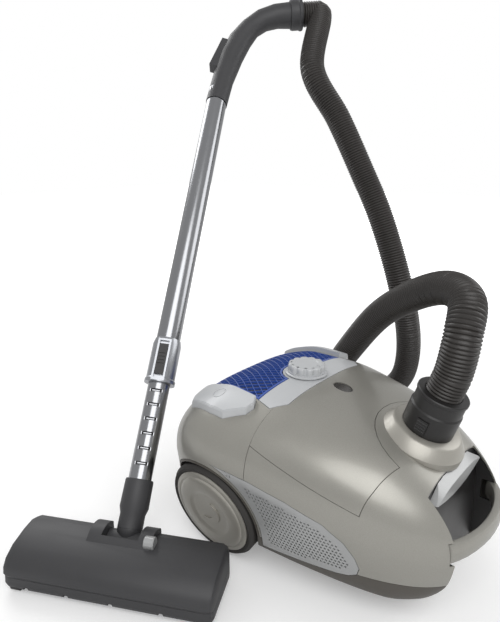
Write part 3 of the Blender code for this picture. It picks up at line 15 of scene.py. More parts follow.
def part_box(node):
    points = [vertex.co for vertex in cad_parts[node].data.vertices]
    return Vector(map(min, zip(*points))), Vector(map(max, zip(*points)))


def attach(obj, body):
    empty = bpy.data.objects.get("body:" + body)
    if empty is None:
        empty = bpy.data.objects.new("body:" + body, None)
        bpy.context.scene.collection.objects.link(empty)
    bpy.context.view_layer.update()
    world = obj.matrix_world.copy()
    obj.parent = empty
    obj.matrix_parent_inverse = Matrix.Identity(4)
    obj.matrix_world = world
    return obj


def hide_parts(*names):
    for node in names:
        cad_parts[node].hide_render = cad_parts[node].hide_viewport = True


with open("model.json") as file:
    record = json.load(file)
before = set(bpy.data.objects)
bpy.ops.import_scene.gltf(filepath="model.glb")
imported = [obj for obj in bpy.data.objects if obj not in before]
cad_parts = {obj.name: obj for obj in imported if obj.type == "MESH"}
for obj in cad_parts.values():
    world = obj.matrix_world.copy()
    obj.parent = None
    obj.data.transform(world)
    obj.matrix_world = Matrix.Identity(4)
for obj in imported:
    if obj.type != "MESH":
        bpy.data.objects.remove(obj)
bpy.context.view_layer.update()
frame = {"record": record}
bpy.context.scene.view_settings.view_transform = "Standard"

MM = 0.001
DEGREE = math.pi / 180
GAP = 0.3 * MM
SEAM = 0.7 * MM
FAR = 500 * MM
TOP_LOW, TOP_HIGH = 120 * MM, 300 * MM

# Canister body: half widths, top, belt and floor heights along its length, in
# millimetres, as (place along Y, value).
BODY_REAR = 94 * MM
BODY_FRONT = -308 * MM
BODY_HALF_WIDTH = (
    (94, 104), (86, 127), (68, 145), (40, 159), (0, 165), (-60, 160), (-130, 150),
    (-200, 133), (-250, 112), (-285, 86), (-302, 58), (-308, 34),
)
BODY_TOP = (
    (94, 160), (86, 184), (68, 205), (40, 220), (0, 229), (-60, 229), (-130, 219),
    (-200, 202), (-250, 176), (-285, 146), (-302, 120), (-308, 98),
)
BODY_BELT = ((94, 124), (0, 134), (-130, 120), (-200, 104), (-308, 84))
BODY_FLOOR = ((94, 22), (80, 16), (-225, 16), (-262, 26), (-290, 50), (-308, 72))
ROUND_TOP = 2.9
ROUND_BOTTOM = 5.5
FLAT_BELLY = 1.006
SIDE_TAPER = 0.14
SECTIONS = 97
SECTION_POINTS = 176
FINE = 4
WALL = 2.6 * MM
BASE_TOP = 62 * MM
SHELL_SEAM_Y = -64 * MM

# Rear wheels.
WHEEL_RADIUS = 70 * MM
WHEEL_WIDTH = 22 * MM
WHEEL_FACE_X = 152 * MM
WHEEL_CAMBER = 12 * DEGREE
WHEEL_CLEARANCE = 4 * MM
TYRE_DEPTH = 8 * MM
TYRE_SHOULDER = 5 * MM
AXLE_RADIUS = 6 * MM
CRESCENT_RADIUS = 17 * MM
ARCH_REACH = WHEEL_RADIUS + WHEEL_CLEARANCE + 7 * MM

# Front caster.
CASTER_Y = -205 * MM
CASTER_RADIUS = 17 * MM
CASTER_WIDTH = 16 * MM
CASTER_TRAIL = 12 * MM
CASTER_CLEARANCE = 4 * MM
CASTER_WELL_TOP = 42 * MM
CASTER_STEM_RADIUS = 4 * MM
CASTER_AXLE_RADIUS = 2 * MM

# Lid and the pieces round it.
LID_FRONT_Y = -222 * MM
LID_CORNER_X = 112 * MM
LID_CUT_ACROSS = 74 * MM
LID_CUT_ALONG = 60 * MM
LID_SIDE_REAR_Z = 187 * MM
LID_SIDE_SLOPE = 0.315
BEZEL_FRONT_Y = -76 * MM
BEZEL_REAR_Y = -38 * MM
KNOB_Y = -44 * MM
KNOB_RADIUS = 26 * MM
KNOB_HEIGHT = 13.5 * MM
KNOB_POINTS = 288
FLUTES = 12
FLUTE_DEPTH = 2.6 * MM
KNOB_BAY_RADIUS = 33 * MM
KNOB_STEM_RADIUS = 4.6 * MM
KNOB_SEAT_Z = 230.4 * MM
WINDOW_Y = -103 * MM
WINDOW_ACROSS = 10 * MM
WINDOW_ALONG = 13 * MM
GRILLE_REAR_Y = 78 * MM
GRILLE_HALF_FRONT = 97 * MM
GRILLE_HALF_REAR = 82 * MM
PEDAL_LIFT = 7.5 * MM

# Grip recess, bow handle and cord outlet.
RECESS_HALF = 73 * MM
RECESS_OUTLINE = (
    (-0.4, 0.25), (-0.257, 0.25), (-0.257, 0.16), (-0.264, 0.118), (-0.266, 0.062), (-0.266, 0.0),
    (-0.4, 0.0),
)
BOW_END_X = 78 * MM
BOW_LOW = 92 * MM
BOW_HIGH = 118 * MM
BOW_DEPTH = 13 * MM
BOW_SPACE_REAR = -272 * MM
BOW_SPREAD = 96 * MM
BOW_REACH = 52 * MM
BOW_MIDDLE_Y = -262 * MM
BOW_SEAT_DROP = 24 * MM
CORD_OUTLET = (-58 * MM, 94 * MM, 84 * MM)
CORD_BUSH_RADIUS = 7 * MM

# Hose inlet.
INLET = Vector((0, -219 * MM, 199 * MM))
INLET_TILT = 18 * DEGREE
INLET_BORE = 25 * MM
DUCT_RADIUS = 27.5 * MM
CUFF_RADIUS = 30 * MM
CUFF_END = 60 * MM
HOSE_SEAT = 40 * MM
BUTTON_WIDE = 14 * MM
BUTTON_INNER = 28.2 * MM
BUTTON_PROUD = 2.8 * MM
BUTTON_TRAVEL = 1.8 * MM
BUTTON_LOW = 14 * MM
BUTTON_HIGH = 31 * MM

# Hose: its middle line from the canister's inlet to the handle, in millimetres.
HOSE_DIAMETER = 44 * MM
HOSE_BORE = 34 * MM
HOSE_ROUTE = (
    (6, -250, 330), (34, -240, 360), (72, -200, 362), (112, -138, 332), (149, -72, 282),
    (180, -8, 205),
    (203, 45, 130), (232, 98, 72), (272, 140, 33), (325, 160, 24), (378, 146, 24), (410, 96, 25),
    (408, 36, 40), (382, -10, 82), (350, -38, 140), (325, -45, 215), (315, -24, 307),
    (314, 17, 410),
    (313, 60, 490), (308, 110, 580), (306, 168, 668),
)

# Wand.
NECK = Vector((-229 * MM, 70 * MM, 59 * MM))
WAND_TOP = Vector((155 * MM, 266 * MM, 605 * MM))
UPPER_TUBE_RADIUS = 17.5 * MM
LOWER_TUBE_RADIUS = 15.5 * MM
TUBE_WALL = 0.9 * MM
SLEEVE_LOW = 188 * MM
SLEEVE_HIGH = 254 * MM
SOCKET_HIGH = 56 * MM
WAND_ACROSS = Vector((0.571, -0.813, -0.110))
LOWER_TUBE_BOTTOM = 26 * MM
LOWER_TUBE_TOP = 470 * MM
LATCH_LOW = 198 * MM
LATCH_HIGH = 242 * MM
LATCH_TRAVEL = 5 * MM
SLEEVE_RADIUS = 20.5 * MM
NOTCH_FIRST = 76 * MM
NOTCH_PITCH = 20 * MM

# Handle: its middle line from the wand's top as (along the wand, across it), its half
# depth and its half width at each point, in millimetres.
HANDLE_LINE = ((0, 0), (54, 3), (109, 10), (150, 20), (182, 34), (206, 54), (220, 78), (226, 104))
HANDLE_HALF = (19, 19.5, 22, 22, 20, 21, 22, 23)
HANDLE_HALF_WIDTH = (19, 18, 18.5, 18.5, 18, 19, 21, 23)
HANDLE_BORE = 13 * MM
BLEED_ALONG = 112
BLEED_ACROSS = -9
BLEED_LEAN = 12 * DEGREE

# Floor head: its sections as (place from front to back, height) in millimetres.
HEAD_LENGTH = 270 * MM
HEAD_ELBOW_BEHIND = 29 * MM
ELBOW_DOWN = 22 * MM
BARREL_RADIUS = 14 * MM
BARREL_HALF = 24 * MM
TRUNNION_RADIUS = 5 * MM
HEAD_SECTION = (
    (-42, 22.4), (-44.5, 27), (-43, 36), (-36, 45), (-20, 53), (6, 58), (26, 59), (38, 55),
    (43, 46),
    (43, 22.4),
)
SOLE_SECTION = ((-41, 7), (-43, 12), (-42, 22), (43, 22), (43, 12), (40, 7))
BRUSH_PLACE = (-14 * MM, 22 * MM)
BRUSH_RADIUS = 20 * MM
BRUSH_HALF = 112 * MM
BRUSH_CORE = 14 * MM
BRUSH_POINTS = 18
BRUSH_TWIST = 1.6
BRUSH_SHAFT_RADIUS = 4 * MM
BRUSH_SHAFT_REACH = 9 * MM
ROLLER_RADIUS = 11 * MM

# Inside.
MOTOR_CENTRE = Vector((50 * MM, 0, 95 * MM))
MOTOR_RADIUS = 50 * MM
REEL_CENTRE = Vector((-58 * MM, 14 * MM, 95 * MM))
REEL_RADIUS = 60 * MM
REEL_HALF = 28 * MM
BULKHEAD_Y = -58 * MM
BAG_HALF_HEIGHT = 58 * MM


def linear(red, green, blue):
    """A display colour, given from 0 to 255, as the linear colour that a shader takes."""
    return tuple(((v / 255 + 0.055) / 1.055) ** 2.4 for v in (red, green, blue))


def node(tree, kind, **inputs):
    made = tree.nodes.new("ShaderNode" + kind)
    for name, value in inputs.items():
        made.inputs[name.replace("_", " ")].default_value = value
    return made


def finish(name, colour, roughness, metallic=0.0, coat=0.0, mottle=0.05, grain=(900, 0.05),
           wear=0.04, flake=0.0):
    """A moulded, lacquered or metal finish with its own grain, mottling and uneven gloss.

    grain is the number of bumps to a metre and their height in millimetres.
    """
    made = bpy.data.materials.new(name)
    made.use_nodes = True
    tree = made.node_tree
    link = tree.links.new
    shader = tree.nodes["Principled BSDF"]
    shader.inputs["Metallic"].default_value = metallic
    shader.inputs["Coat Weight"].default_value = coat
    shader.inputs["Coat Roughness"].default_value = 0.12
    place = node(tree, "TexCoord").outputs["Object"]
    cloud = node(tree, "TexNoise", Scale=14, Detail=4, Roughness=0.6)
    fine = node(tree, "TexNoise", Scale=grain[0], Detail=2, Roughness=0.5)
    for texture in (cloud, fine):
        link(place, texture.inputs["Vector"])

    def spread(texture, reach, middle, change):
        """The texture's middle range, spread evenly about a value."""
        made = node(tree, "MapRange", From_Min=0.5 - reach, From_Max=0.5 + reach,
                    To_Min=middle - change, To_Max=middle + change)
        link(texture.outputs["Fac"], made.inputs["Value"])
        return made.outputs["Result"]

    both = node(tree, "Math")
    both.operation = "MULTIPLY"
    link(spread(cloud, 0.2, 1, mottle), both.inputs[0])
    link(spread(fine, 0.15, 1, flake), both.inputs[1])
    paint = node(tree, "VectorMath")
    paint.operation = "SCALE"
    paint.inputs[0].default_value = colour
    link(both.outputs["Value"], paint.inputs["Scale"])
    link(paint.outputs["Vector"], shader.inputs["Base Color"])
    link(spread(cloud, 0.2, roughness, wear), shader.inputs["Roughness"])
    bump = node(tree, "Bump", Strength=1.0, Distance=grain[1] * MM)
    link(fine.outputs["Fac"], bump.inputs["Height"])
    link(bump.outputs["Normal"], shader.inputs["Normal"])
    return made


METALLIC_LACQUER = {"mottle": 0.02, "grain": (2600, 0.006)}
TAUPE = finish(
    "taupe lacquer", linear(158, 156, 149), 0.36, 0.5, 0.35, flake=0.10, **METALLIC_LACQUER
)
DARK_TAUPE = finish("dark taupe plastic", linear(84, 80, 74), 0.45, 0.1, 0.0, 0.04, (1400, 0.02))
SILVER = finish(
    "silver lacquer", linear(172, 173, 173), 0.34, 0.35, 0.3, flake=0.08, **METALLIC_LACQUER
)
PALE_GREY = finish(
    "pale grey plastic", linear(192, 194, 196), 0.38, 0.1, 0.15, 0.02, (1600, 0.01)
)
BLUE = finish("blue plastic", linear(52, 84, 164), 0.33, 0.0, 0.3, 0.06, (1500, 0.01))
BLACK = finish("black plastic", linear(34, 33, 33), 0.38, mottle=0.12, grain=(1300, 0.02))
RUBBER = finish("black rubber", linear(46, 44, 42), 0.62, mottle=0.10, grain=(1100, 0.04))
CHROME = finish(
    "chromed steel", linear(158, 159, 162), 0.2, 1.0, 0.0, 0.01, (700, 0.002), wear=0.03
)
STEEL = finish("steel", linear(170, 172, 176), 0.3, 1.0, mottle=0.03, grain=(900, 0.01))
GRAPHITE = finish("graphite plastic", linear(58, 58, 60), 0.5, mottle=0.07, grain=(1500, 0.035))
PAPER = finish("filter paper", linear(222, 216, 200), 0.9, mottle=0.05, grain=(600, 0.1))
CARD = finish("card", linear(176, 146, 108), 0.85, mottle=0.08, grain=(700, 0.08))
FOAM = finish("filter foam", linear(74, 74, 78), 0.95, mottle=0.15, grain=(500, 0.4))
SMOKED = finish("smoked window", linear(62, 60, 58), 0.12, coat=0.6, mottle=0.05)
HUB = finish("hub metal", linear(170, 167, 159), 0.38, 0.5, 0.2, flake=0.05, **METALLIC_LACQUER)
HOSE = finish("hose plastic", linear(48, 45, 43), 0.4, mottle=0.10, grain=(1300, 0.02))


def ease(points, at):
    """A smooth curve through (place, value) points in millimetres, read at a place in metres."""
    points = sorted(points)
    at = min(max(at / MM, points[0][0]), points[-1][0])
    slopes = [(b[1] - a[1]) / (b[0] - a[0]) for a, b in zip(points, points[1:])]
    ends = [slopes[0]]
    for before, after in zip(slopes, slopes[1:]):
        turns = before * after <= 0
        ends.append(0 if turns else 2 * before * after / (before + after))
    ends.append(slopes[-1])
    index = 0
    while at > points[index + 1][0]:
        index += 1
    low, high = points[index], points[index + 1]
    step = high[0] - low[0]
    t = (at - low[0]) / step
    value = (2 * t**3 - 3 * t**2 + 1) * low[1] + (t**3 - 2 * t**2 + t) * step * ends[index]
    value += (3 * t**2 - 2 * t**3) * high[1] + (t**3 - t**2) * step * ends[index + 1]
    return value * MM


def frame_at(origin, axis, across):
    """A placement whose Z runs along an axis and whose X leans towards another direction."""
    upward = Vector(axis).normalized()
    sideways = (Vector(across) - upward * Vector(across).dot(upward)).normalized()
    forward = upward.cross(sideways)
    turn = Matrix((sideways, forward, upward)).transposed()
    return Matrix.Translation(origin) @ turn.to_4x4()


def along_x(origin):
    return frame_at(origin, (1, 0, 0), (0, 1, 0))


FORMS = {}
EXTRAS = {}
GUIDES = []


def placed(name, mesh, placement, parent):
    made = bpy.data.objects.new(name, mesh)
    bpy.context.collection.objects.link(made)
    made.parent = parent
    if placement is not None:
        made.matrix_local = placement
    return made


def piece(name, mesh, material, placement=None, parent=None):
    """A detailed form that stands for the CAD node of this name."""
    mesh.materials.clear()
    mesh.materials.append(material)
    FORMS[name] = placed(name + "_form", mesh, placement, parent)
    return FORMS[name]


def extra(name, carrier, mesh, material, placement=None, parent=None):
    """A detail with no CAD node, which rides with the node that carries it."""
    EXTRAS[name] = carrier
    return piece(name, mesh, material, placement, parent)


def helper(mesh, placement=None, parent=None):
    """A guide or cutter, which is removed once the forms are settled."""
    GUIDES.append(placed("guide", mesh, placement, parent))
    return GUIDES[-1]


def pivot(placement, parent=None):
    """A guide on a joint's axis, which the forms of a moving body are placed from."""
    return helper(None, placement, parent)


def boolean(target, operation, others):
    """Combines solids with MANIFOLD, because EXACT loses whole pieces of the body's thin skin."""
    for other in others:
        change = target.modifiers.new("form", "BOOLEAN")
        change.object = other
        change.operation = operation
        change.solver = "MANIFOLD"
    return target


def cut(target, *others):
    return boolean(target, "DIFFERENCE", others)


def keep(target, *others):
    return boolean(target, "INTERSECT", others)


def join(target, *others):
    return boolean(target, "UNION", others)


def mesh_of(shape):
    bmesh.ops.recalc_face_normals(shape, faces=shape.faces)
    mesh = bpy.data.meshes.new("form")
    shape.to_mesh(mesh)
    shape.free()
    return mesh


def rod(radius, low, high, steps=20):
    return turned(((0, low), (radius, low), (radius, high), (0, high)), steps)


def ringed(profile, steps=32):
    """A solid of revolution from a closed outline of (radius, height) points in millimetres."""
    return turned(in_mm(*profile), steps)


def loft(rings):
    """A closed solid through rings of as many points each, with a flat face at both ends."""
    shape = bmesh.new()
    loops = [[shape.verts.new(point) for point in ring] for ring in rings]
    count = len(loops[0])
    for first, second in zip(loops, loops[1:]):
        for i in range(count):
            j = (i + 1) % count
            shape.faces.new((first[i], first[j], second[j], second[i]))
    ends = [shape.faces.new(loops[0][::-1]), shape.faces.new(loops[-1])]
    bmesh.ops.triangulate(shape, faces=ends)
    return mesh_of(shape)


def turned(profile, steps=32):
    """A solid of revolution about Z from a closed outline of (radius, height) points."""
    shape = bmesh.new()
    rings = []
    steps *= FINE
    for radius, height in profile:
        if radius == 0:
            rings.append([shape.verts.new((0, 0, height))])
            continue
        spots = [(radius * math.cos(a), radius * math.sin(a), height) for a in turns(steps)]
        rings.append([shape.verts.new(spot) for spot in spots])
    for first, second in zip(rings, rings[1:] + rings[:1]):
        for i in range(steps):
            j = (i + 1) % steps
            corners = [first[i % len(first)], first[j % len(first)]]
            corners += [second[j % len(second)], second[i % len(second)]]
            corners = list(dict.fromkeys(corners))
            if len(corners) > 2:
                shape.faces.new(corners)
    return mesh_of(shape)


def prism(outline, low, high):
    """An outline in X and Y, extruded along Z."""
    rings = [[Vector((x, y, z)) for x, y in outline] for z in (low, high)]
    return loft(rings)


def side_prism(outline, low, high):
    """An outline in Y and Z, extruded along X."""
    rings = [[Vector((x, y, z)) for y, z in outline] for x in (low, high)]
    return loft(rings)


def box(low, high):
    outline = ((low[0], low[1]), (high[0], low[1]), (high[0], high[1]), (low[0], high[1]))
    return prism(outline, low[2], high[2])


def grown(outline, distance):
    """An outline moved outwards by a distance, or inwards by a negative one."""
    area = sum(a[0] * b[1] - b[0] * a[1] for a, b in zip(outline, outline[1:] + outline[:1]))
    turn = 1 if area > 0 else -1
    moved = []
    for i, spot in enumerate(outline):
        here = Vector(spot)
        before = (here - Vector(outline[i - 1])).normalized()
        after = (Vector(outline[(i + 1) % len(outline)]) - here).normalized()
        out_before = Vector((before.y, -before.x)) * turn
        out_after = Vector((after.y, -after.x)) * turn
        middle = (out_before + out_after).normalized()
        reach = distance / max(middle.dot(out_after), 0.4)
        moved.append(tuple(here + middle * reach))
    return moved


def arc(centre, across, along, start, end, steps):
    """Points round part of an ellipse, with its angles in degrees."""
    points = []
    for i in range(steps + 1):
        angle = (start + (end - start) * i / steps) * DEGREE
        spot = (centre[0] + across * math.cos(angle), centre[1] + along * math.sin(angle))
        points.append(spot)
    return points


def mirrored(outline):
    """The other half of an outline across X, added in reverse."""
    return outline + [(-x, y) for x, y in reversed(outline)]


def in_mm(*points):
    return [tuple(value * MM for value in point) for point in points]


def turns(count, shift=0):
    """Even angles round a circle."""
    return [2 * math.pi * (i + shift) / count for i in range(count)]


def squared(value, power):
    """A sine or cosine pushed outwards by a power under 1, for a ring with fuller corners."""
    return math.copysign(abs(value) ** power, value)


def prisms(pairs):
    """Separate solids in one mesh, each between two rings of as many points."""
    shape = bmesh.new()
    for pair in pairs:
        low, high = ([shape.verts.new(point) for point in ring] for ring in pair)
        shape.faces.new(low[::-1])
        shape.faces.new(high)
        for k in range(len(low)):
            n = (k + 1) % len(low)
            shape.faces.new((low[k], low[n], high[n], high[k]))
    return mesh_of(shape)


def diamond(x, y, across, along):
    return [(x - across, y), (x, y - along), (x + across, y), (x, y + along)]


# ---------------------------------------------------------------- canister body


def body_section(y, inset):
    """The body's outline at one place along its length, drawn in by an inset."""
    half = ease(BODY_HALF_WIDTH, y) - inset
    top = ease(BODY_TOP, y) - inset
    belt = ease(BODY_BELT, y)
    floor = ease(BODY_FLOOR, y) + inset
    ring = []
    for angle in turns(SECTION_POINTS, 0.5):
        cosine, sine = math.cos(angle), math.sin(angle)
        above = sine > 0
        power = 2 / (ROUND_TOP if above else ROUND_BOTTOM)
        across = half * squared(cosine, power)
        upward = abs(sine) ** power
        if above:
            ring.append(Vector((across, y, belt + (top - belt) * upward)))
        else:
            upward = min(1, upward * FLAT_BELLY)
            narrow = 1 - SIDE_TAPER * upward
            ring.append(Vector((across * narrow, y, belt - (belt - floor) * upward)))
    return ring


def body_form(inset):
    """The body's outer form as a guide, or the same form drawn in by a depth."""
    rings = []
    for i in range(SECTIONS):
        even = i / (SECTIONS - 1)
        share = 0.45 * (0.5 - 0.5 * math.cos(math.pi * even)) + 0.55 * even
        y = BODY_REAR - inset + share * (BODY_FRONT - BODY_REAR + 2 * inset)
        rings.append(body_section(y, inset))
    return helper(loft(rings))


def wheel_frame(side):
    """A rear wheel's placement: Z runs outwards along its axle, from the middle of its face."""
    outward = Vector((side * math.cos(WHEEL_CAMBER), 0, -math.sin(WHEEL_CAMBER)))
    height = WHEEL_RADIUS * math.cos(WHEEL_CAMBER) - TYRE_SHOULDER * math.sin(WHEEL_CAMBER)
    centre = Vector((side * WHEEL_FACE_X, 0, height))
    return frame_at(centre, outward, (0, 1, 0))


def wheel_pocket(side, extra):
    """The round recess that a rear wheel turns in, or the same one with its wall."""
    radius = WHEEL_RADIUS + WHEEL_CLEARANCE + extra
    low = -WHEEL_WIDTH - 5 * MM - extra
    profile = ((0, low), (radius, low), (radius, 60 * MM), (0, 60 * MM))
    return helper(turned(profile, 28), wheel_frame(side))


def lid_outline():
    """The lid's edge seen from above, with the cut round the hose inlet."""
    wide = 175 * MM
    bow = arc((0, LID_FRONT_Y), LID_CUT_ACROSS, LID_CUT_ALONG, 0, 180, 14)
    near = [
        (-LID_CORNER_X, LID_FRONT_Y + 11 * MM), (-142 * MM, LID_FRONT_Y + 24 * MM),
        (-wide, LID_FRONT_Y + 60 * MM), (-wide, SHELL_SEAM_Y),
    ]
    far = [(-x, y) for x, y in reversed(near)]
    return bow + near + far


def lid_region(outset):
    """The space that the lid takes out of the front shell, or that space moved out or in."""
    outline = grown(lid_outline(), outset)
    low = []
    for x, y in outline:
        fall = LID_SIDE_REAR_Z + (y - SHELL_SEAM_Y) * LID_SIDE_SLOPE - outset
        low.append(Vector((x, y, fall)))
    high = [Vector((x, y, 270 * MM)) for x, y in outline]
    return helper(loft([low, high]))


def bezel_outline():
    """The control bezel's edge from above: pointed ends and a round bay behind the knob."""
    near = [(-86 * MM, BEZEL_FRONT_Y), (-104 * MM, -60 * MM), (-98 * MM, BEZEL_REAR_Y)]
    return mirrored(near + knob_bay(KNOB_BAY_RADIUS, BEZEL_REAR_Y, 90.01, 5))


def knob_bay(radius, edge_y, end, steps):
    """The round edge behind the knob, from where it meets a straight edge."""
    start = 180 - math.degrees(math.asin((edge_y - KNOB_Y) / radius))
    return arc((0, KNOB_Y), radius, radius, start, end, steps)


def grille_outline():
    """The exhaust grille's edge from above: a trapezium with a finger notch at the rear."""
    front = BEZEL_REAR_Y + 2 * SEAM
    left = [
        (-GRILLE_HALF_FRONT, front), (-GRILLE_HALF_REAR, GRILLE_REAR_Y - 12 * MM),
        (-GRILLE_HALF_REAR + 10 * MM, GRILLE_REAR_Y), (-15 * MM, GRILLE_REAR_Y + 3 * MM),
        (-11 * MM, GRILLE_REAR_Y - 7 * MM),
    ]
    bay = knob_bay(KNOB_BAY_RADIUS + 2 * SEAM, front, 90.01, 4)
    return left + [(-x, y) for x, y in reversed(left)] + [(-x, y) for x, y in bay] + bay[::-1]


def pedal_outline(side):
    points = in_mm(
        (101, -36), (113, -42), (124, -38), (139, -12), (138, 10), (126, 56), (112, 66), (92, 62),
    )
    return [(side * x, y) for x, y in points]


def panel_outline():
    """A side panel's edge from the side, round the wheel and then forwards."""
    rise = WHEEL_RADIUS * math.cos(WHEEL_CAMBER)
    bow = arc((0, rise), ARCH_REACH, ARCH_REACH, 197, 99, 24)
    front = in_mm(
        (-36, 147), (-70, 144), (-118, 135), (-166, 121), (-190, 104), (-202, 86), (-206, 72),
        (-203, 62), (-193, 56), (-178, 53),
    )
    return bow + front


def caster_well(extra):
    """The round recess that the caster swivels in, or the same one with its wall."""
    radius = CASTER_TRAIL + CASTER_RADIUS + CASTER_CLEARANCE + extra
    top = CASTER_WELL_TOP + extra
    profile = ((0, -40 * MM), (radius, -40 * MM), (radius, top), (0, top))
    return helper(turned(profile, 20), Matrix.Translation((0, CASTER_Y, 0)))


def hollow(inset, extra):
    """The body's form drawn in by an inset and clear of the wheel and caster wells."""
    form = body_form(inset)
    for side, _ in SIDES:
        cut(form, wheel_pocket(side, extra))
    return cut(form, caster_well(extra))


SIDES = ((-1, "right"), (1, "left"))
SKIN = hollow(0, 0)
cut(SKIN, hollow(WALL, WALL))
ROOM = hollow(WALL + GAP, WALL + GAP)
LID_HOLE = lid_region(SEAM)


def recess_space(outset):
    """The grip recess in the nose, open at the front and below, or that space moved out."""
    outline = grown(RECESS_OUTLINE, outset)
    half = RECESS_HALF + outset
    return helper(side_prism(outline, -half, half))


RECESS = recess_space(0)


def panel_space(side, outset):
    """A side panel's stretch of the body's flank."""
    low, high = sorted((side * FLANK, side * FAR))
    return helper(side_prism(grown(panel_outline(), outset), low, high))


def space_over(outline, outset=0.0):
    """The space above an outline on top of the body."""
    return helper(prism(grown(outline, outset), TOP_LOW, TOP_HIGH))


def casing(name, mesh, material, *spaces):
    """A piece of the body's skin inside a mesh and outside the spaces of its neighbours."""
    made = piece(name, mesh, material)
    keep(made, SKIN)
    return cut(made, *spaces)


def rear_outline():
    """The rear shell's stretch from the side, with its arch round the front of the wheel."""
    centre = WHEEL_RADIUS * math.cos(WHEEL_CAMBER)
    seam = SHELL_SEAM_Y + SEAM / 2
    start = 180 - math.degrees(math.acos(-seam / ARCH_REACH))
    end = 180 + math.degrees(math.asin((centre - BASE_TOP) / ARCH_REACH))
    bow = arc((0, centre), ARCH_REACH, ARCH_REACH, start, end, 5)
    return [(FAR, BASE_TOP), (FAR, FAR), (seam, FAR)] + bow


def window_outline():
    return arc((0, WINDOW_Y), WINDOW_ACROSS, WINDOW_ALONG, 0, 340, 17)


WELLS = [wheel_pocket(side, WALL + SEAM / 2) for side, _ in SIDES]
WELL_GAPS = [wheel_pocket(side, WALL + 1.5 * SEAM) for side, _ in SIDES]
BEZEL_HOLE = space_over(bezel_outline(), SEAM)
GRILLE_HOLE = space_over(grille_outline(), SEAM)
PEDAL_HOLES = [space_over(pedal_outline(side), SEAM) for side, _ in SIDES]
REAR_SPACE = helper(side_prism(grown(rear_outline(), SEAM), -FAR, FAR))
AXLE_HOLES = [
    helper(rod(AXLE_RADIUS + 2 * GAP, -50 * MM, -10 * MM), wheel_frame(side))
    for side, _ in SIDES
]
STEM_HOLE = helper(
    rod(CASTER_STEM_RADIUS + GAP, 30 * MM, 60 * MM), Matrix.Translation((0, CASTER_Y, 0))
)
INLET_FRAME = frame_at(INLET, (0, -math.sin(INLET_TILT), math.cos(INLET_TILT)), (1, 0, 0))
INLET_HOLE = helper(rod(DUCT_RADIUS + 2 * GAP, -40 * MM, 40 * MM, 32), INLET_FRAME)
CORD_FRAME = frame_at(CORD_OUTLET, (0, 1, 0), (1, 0, 0))
CORD_HOLE = helper(rod(CORD_BUSH_RADIUS + GAP, -20 * MM, 20 * MM), CORD_FRAME)
WINDOW_HOLE = space_over(window_outline(), SEAM)
BOW_SPACE_HIGH = (BOW_END_X + SEAM, BOW_SPACE_REAR, BOW_HIGH + SEAM)
BOW_SPACE = helper(box((-BOW_END_X - SEAM, -FAR, BOW_LOW - SEAM), BOW_SPACE_HIGH))

PIT_PITCH = 4.6 * MM
PIT_SIDE = 3.5 * MM
PIT_DEPTH = 1.5 * MM
PANEL_RIM = 8 * MM
FLANK = 60 * MM


def panel_pits(side):
    """The fine square mesh pressed into a side panel, inside its smooth rim."""
    inner = grown(panel_outline(), -PANEL_RIM)
    half = PIT_SIDE / 2
    pits = []
    for j in range(4, 34):
        for i in range(-46, -4):
            corners = diamond((i + 0.5 * (j % 2)) * PIT_PITCH, j * PIT_PITCH, half, half)
            if all(holds(inner, corner) for corner in corners):
                ends = (side * FLANK, side * FAR)
                pits.append([[(x, *corner) for corner in corners] for x in ends])
    return prisms(pits)


def holds(outline, spot):
    """Whether a point lies inside an outline."""
    inside = False
    x, y = spot
    for (ax, ay), (bx, by) in zip(outline, outline[1:] + outline[:1]):
        if (ay > y) != (by > y) and x < ax + (y - ay) * (bx - ax) / (by - ay):
            inside = not inside
    return inside


def build_shells():
    holes = [panel_space(side, SEAM) for side, _ in SIDES]
    for side, word in SIDES:
        panel = panel_space(side, 0)
        panel = casing("side_panel_" + word, panel.data.copy(), SILVER, *WELL_GAPS)
        pits = helper(panel_pits(side))
        cut(pits, body_form(PIT_DEPTH))
        cut(panel, pits)
    base = box((-FAR, -FAR, 0), (FAR, FAR, BASE_TOP - SEAM))
    base = piece("base_tray", base, DARK_TAUPE)
    cut(base, *holes)
    join(base, *WELLS)
    keep(base, SKIN)
    cut(base, RECESS, *AXLE_HOLES, STEM_HOLE)
    front = box((-FAR, -FAR, BASE_TOP), (FAR, SHELL_SEAM_Y + 20 * MM, FAR))
    spaces = [LID_HOLE, RECESS, BOW_SPACE, BEZEL_HOLE, REAR_SPACE, INLET_HOLE, *WELL_GAPS, *holes]
    front = casing("front_shell", front, TAUPE, *spaces)
    slot = box((42 * MM, -276 * MM, 130 * MM), (60 * MM, -262 * MM, 260 * MM))
    cut(front, helper(slot))
    rear = side_prism(rear_outline(), -FAR, FAR)
    bay = helper(rod(KNOB_BAY_RADIUS + 4 * SEAM, 100 * MM, 300 * MM, 32))
    bay.location.y = KNOB_Y
    spaces = [BEZEL_HOLE, GRILLE_HOLE, bay, *PEDAL_HOLES, *WELL_GAPS, *holes, CORD_HOLE]
    casing("rear_shell", rear, TAUPE, *spaces)
    cover = lid_region(0)
    casing("lid", cover.data.copy(), TAUPE, BEZEL_HOLE, WINDOW_HOLE)


build_shells()


def capped(name, outline, lift, depth, material):
    """A piece whose top and underside follow the body at two depths under its surface."""
    above = body_form(-lift)
    below = body_form(depth)
    made = piece(name, prism(outline, TOP_LOW, TOP_HIGH), material)
    keep(made, above)
    return cut(made, below)


# ---------------------------------------------------------------- top pieces


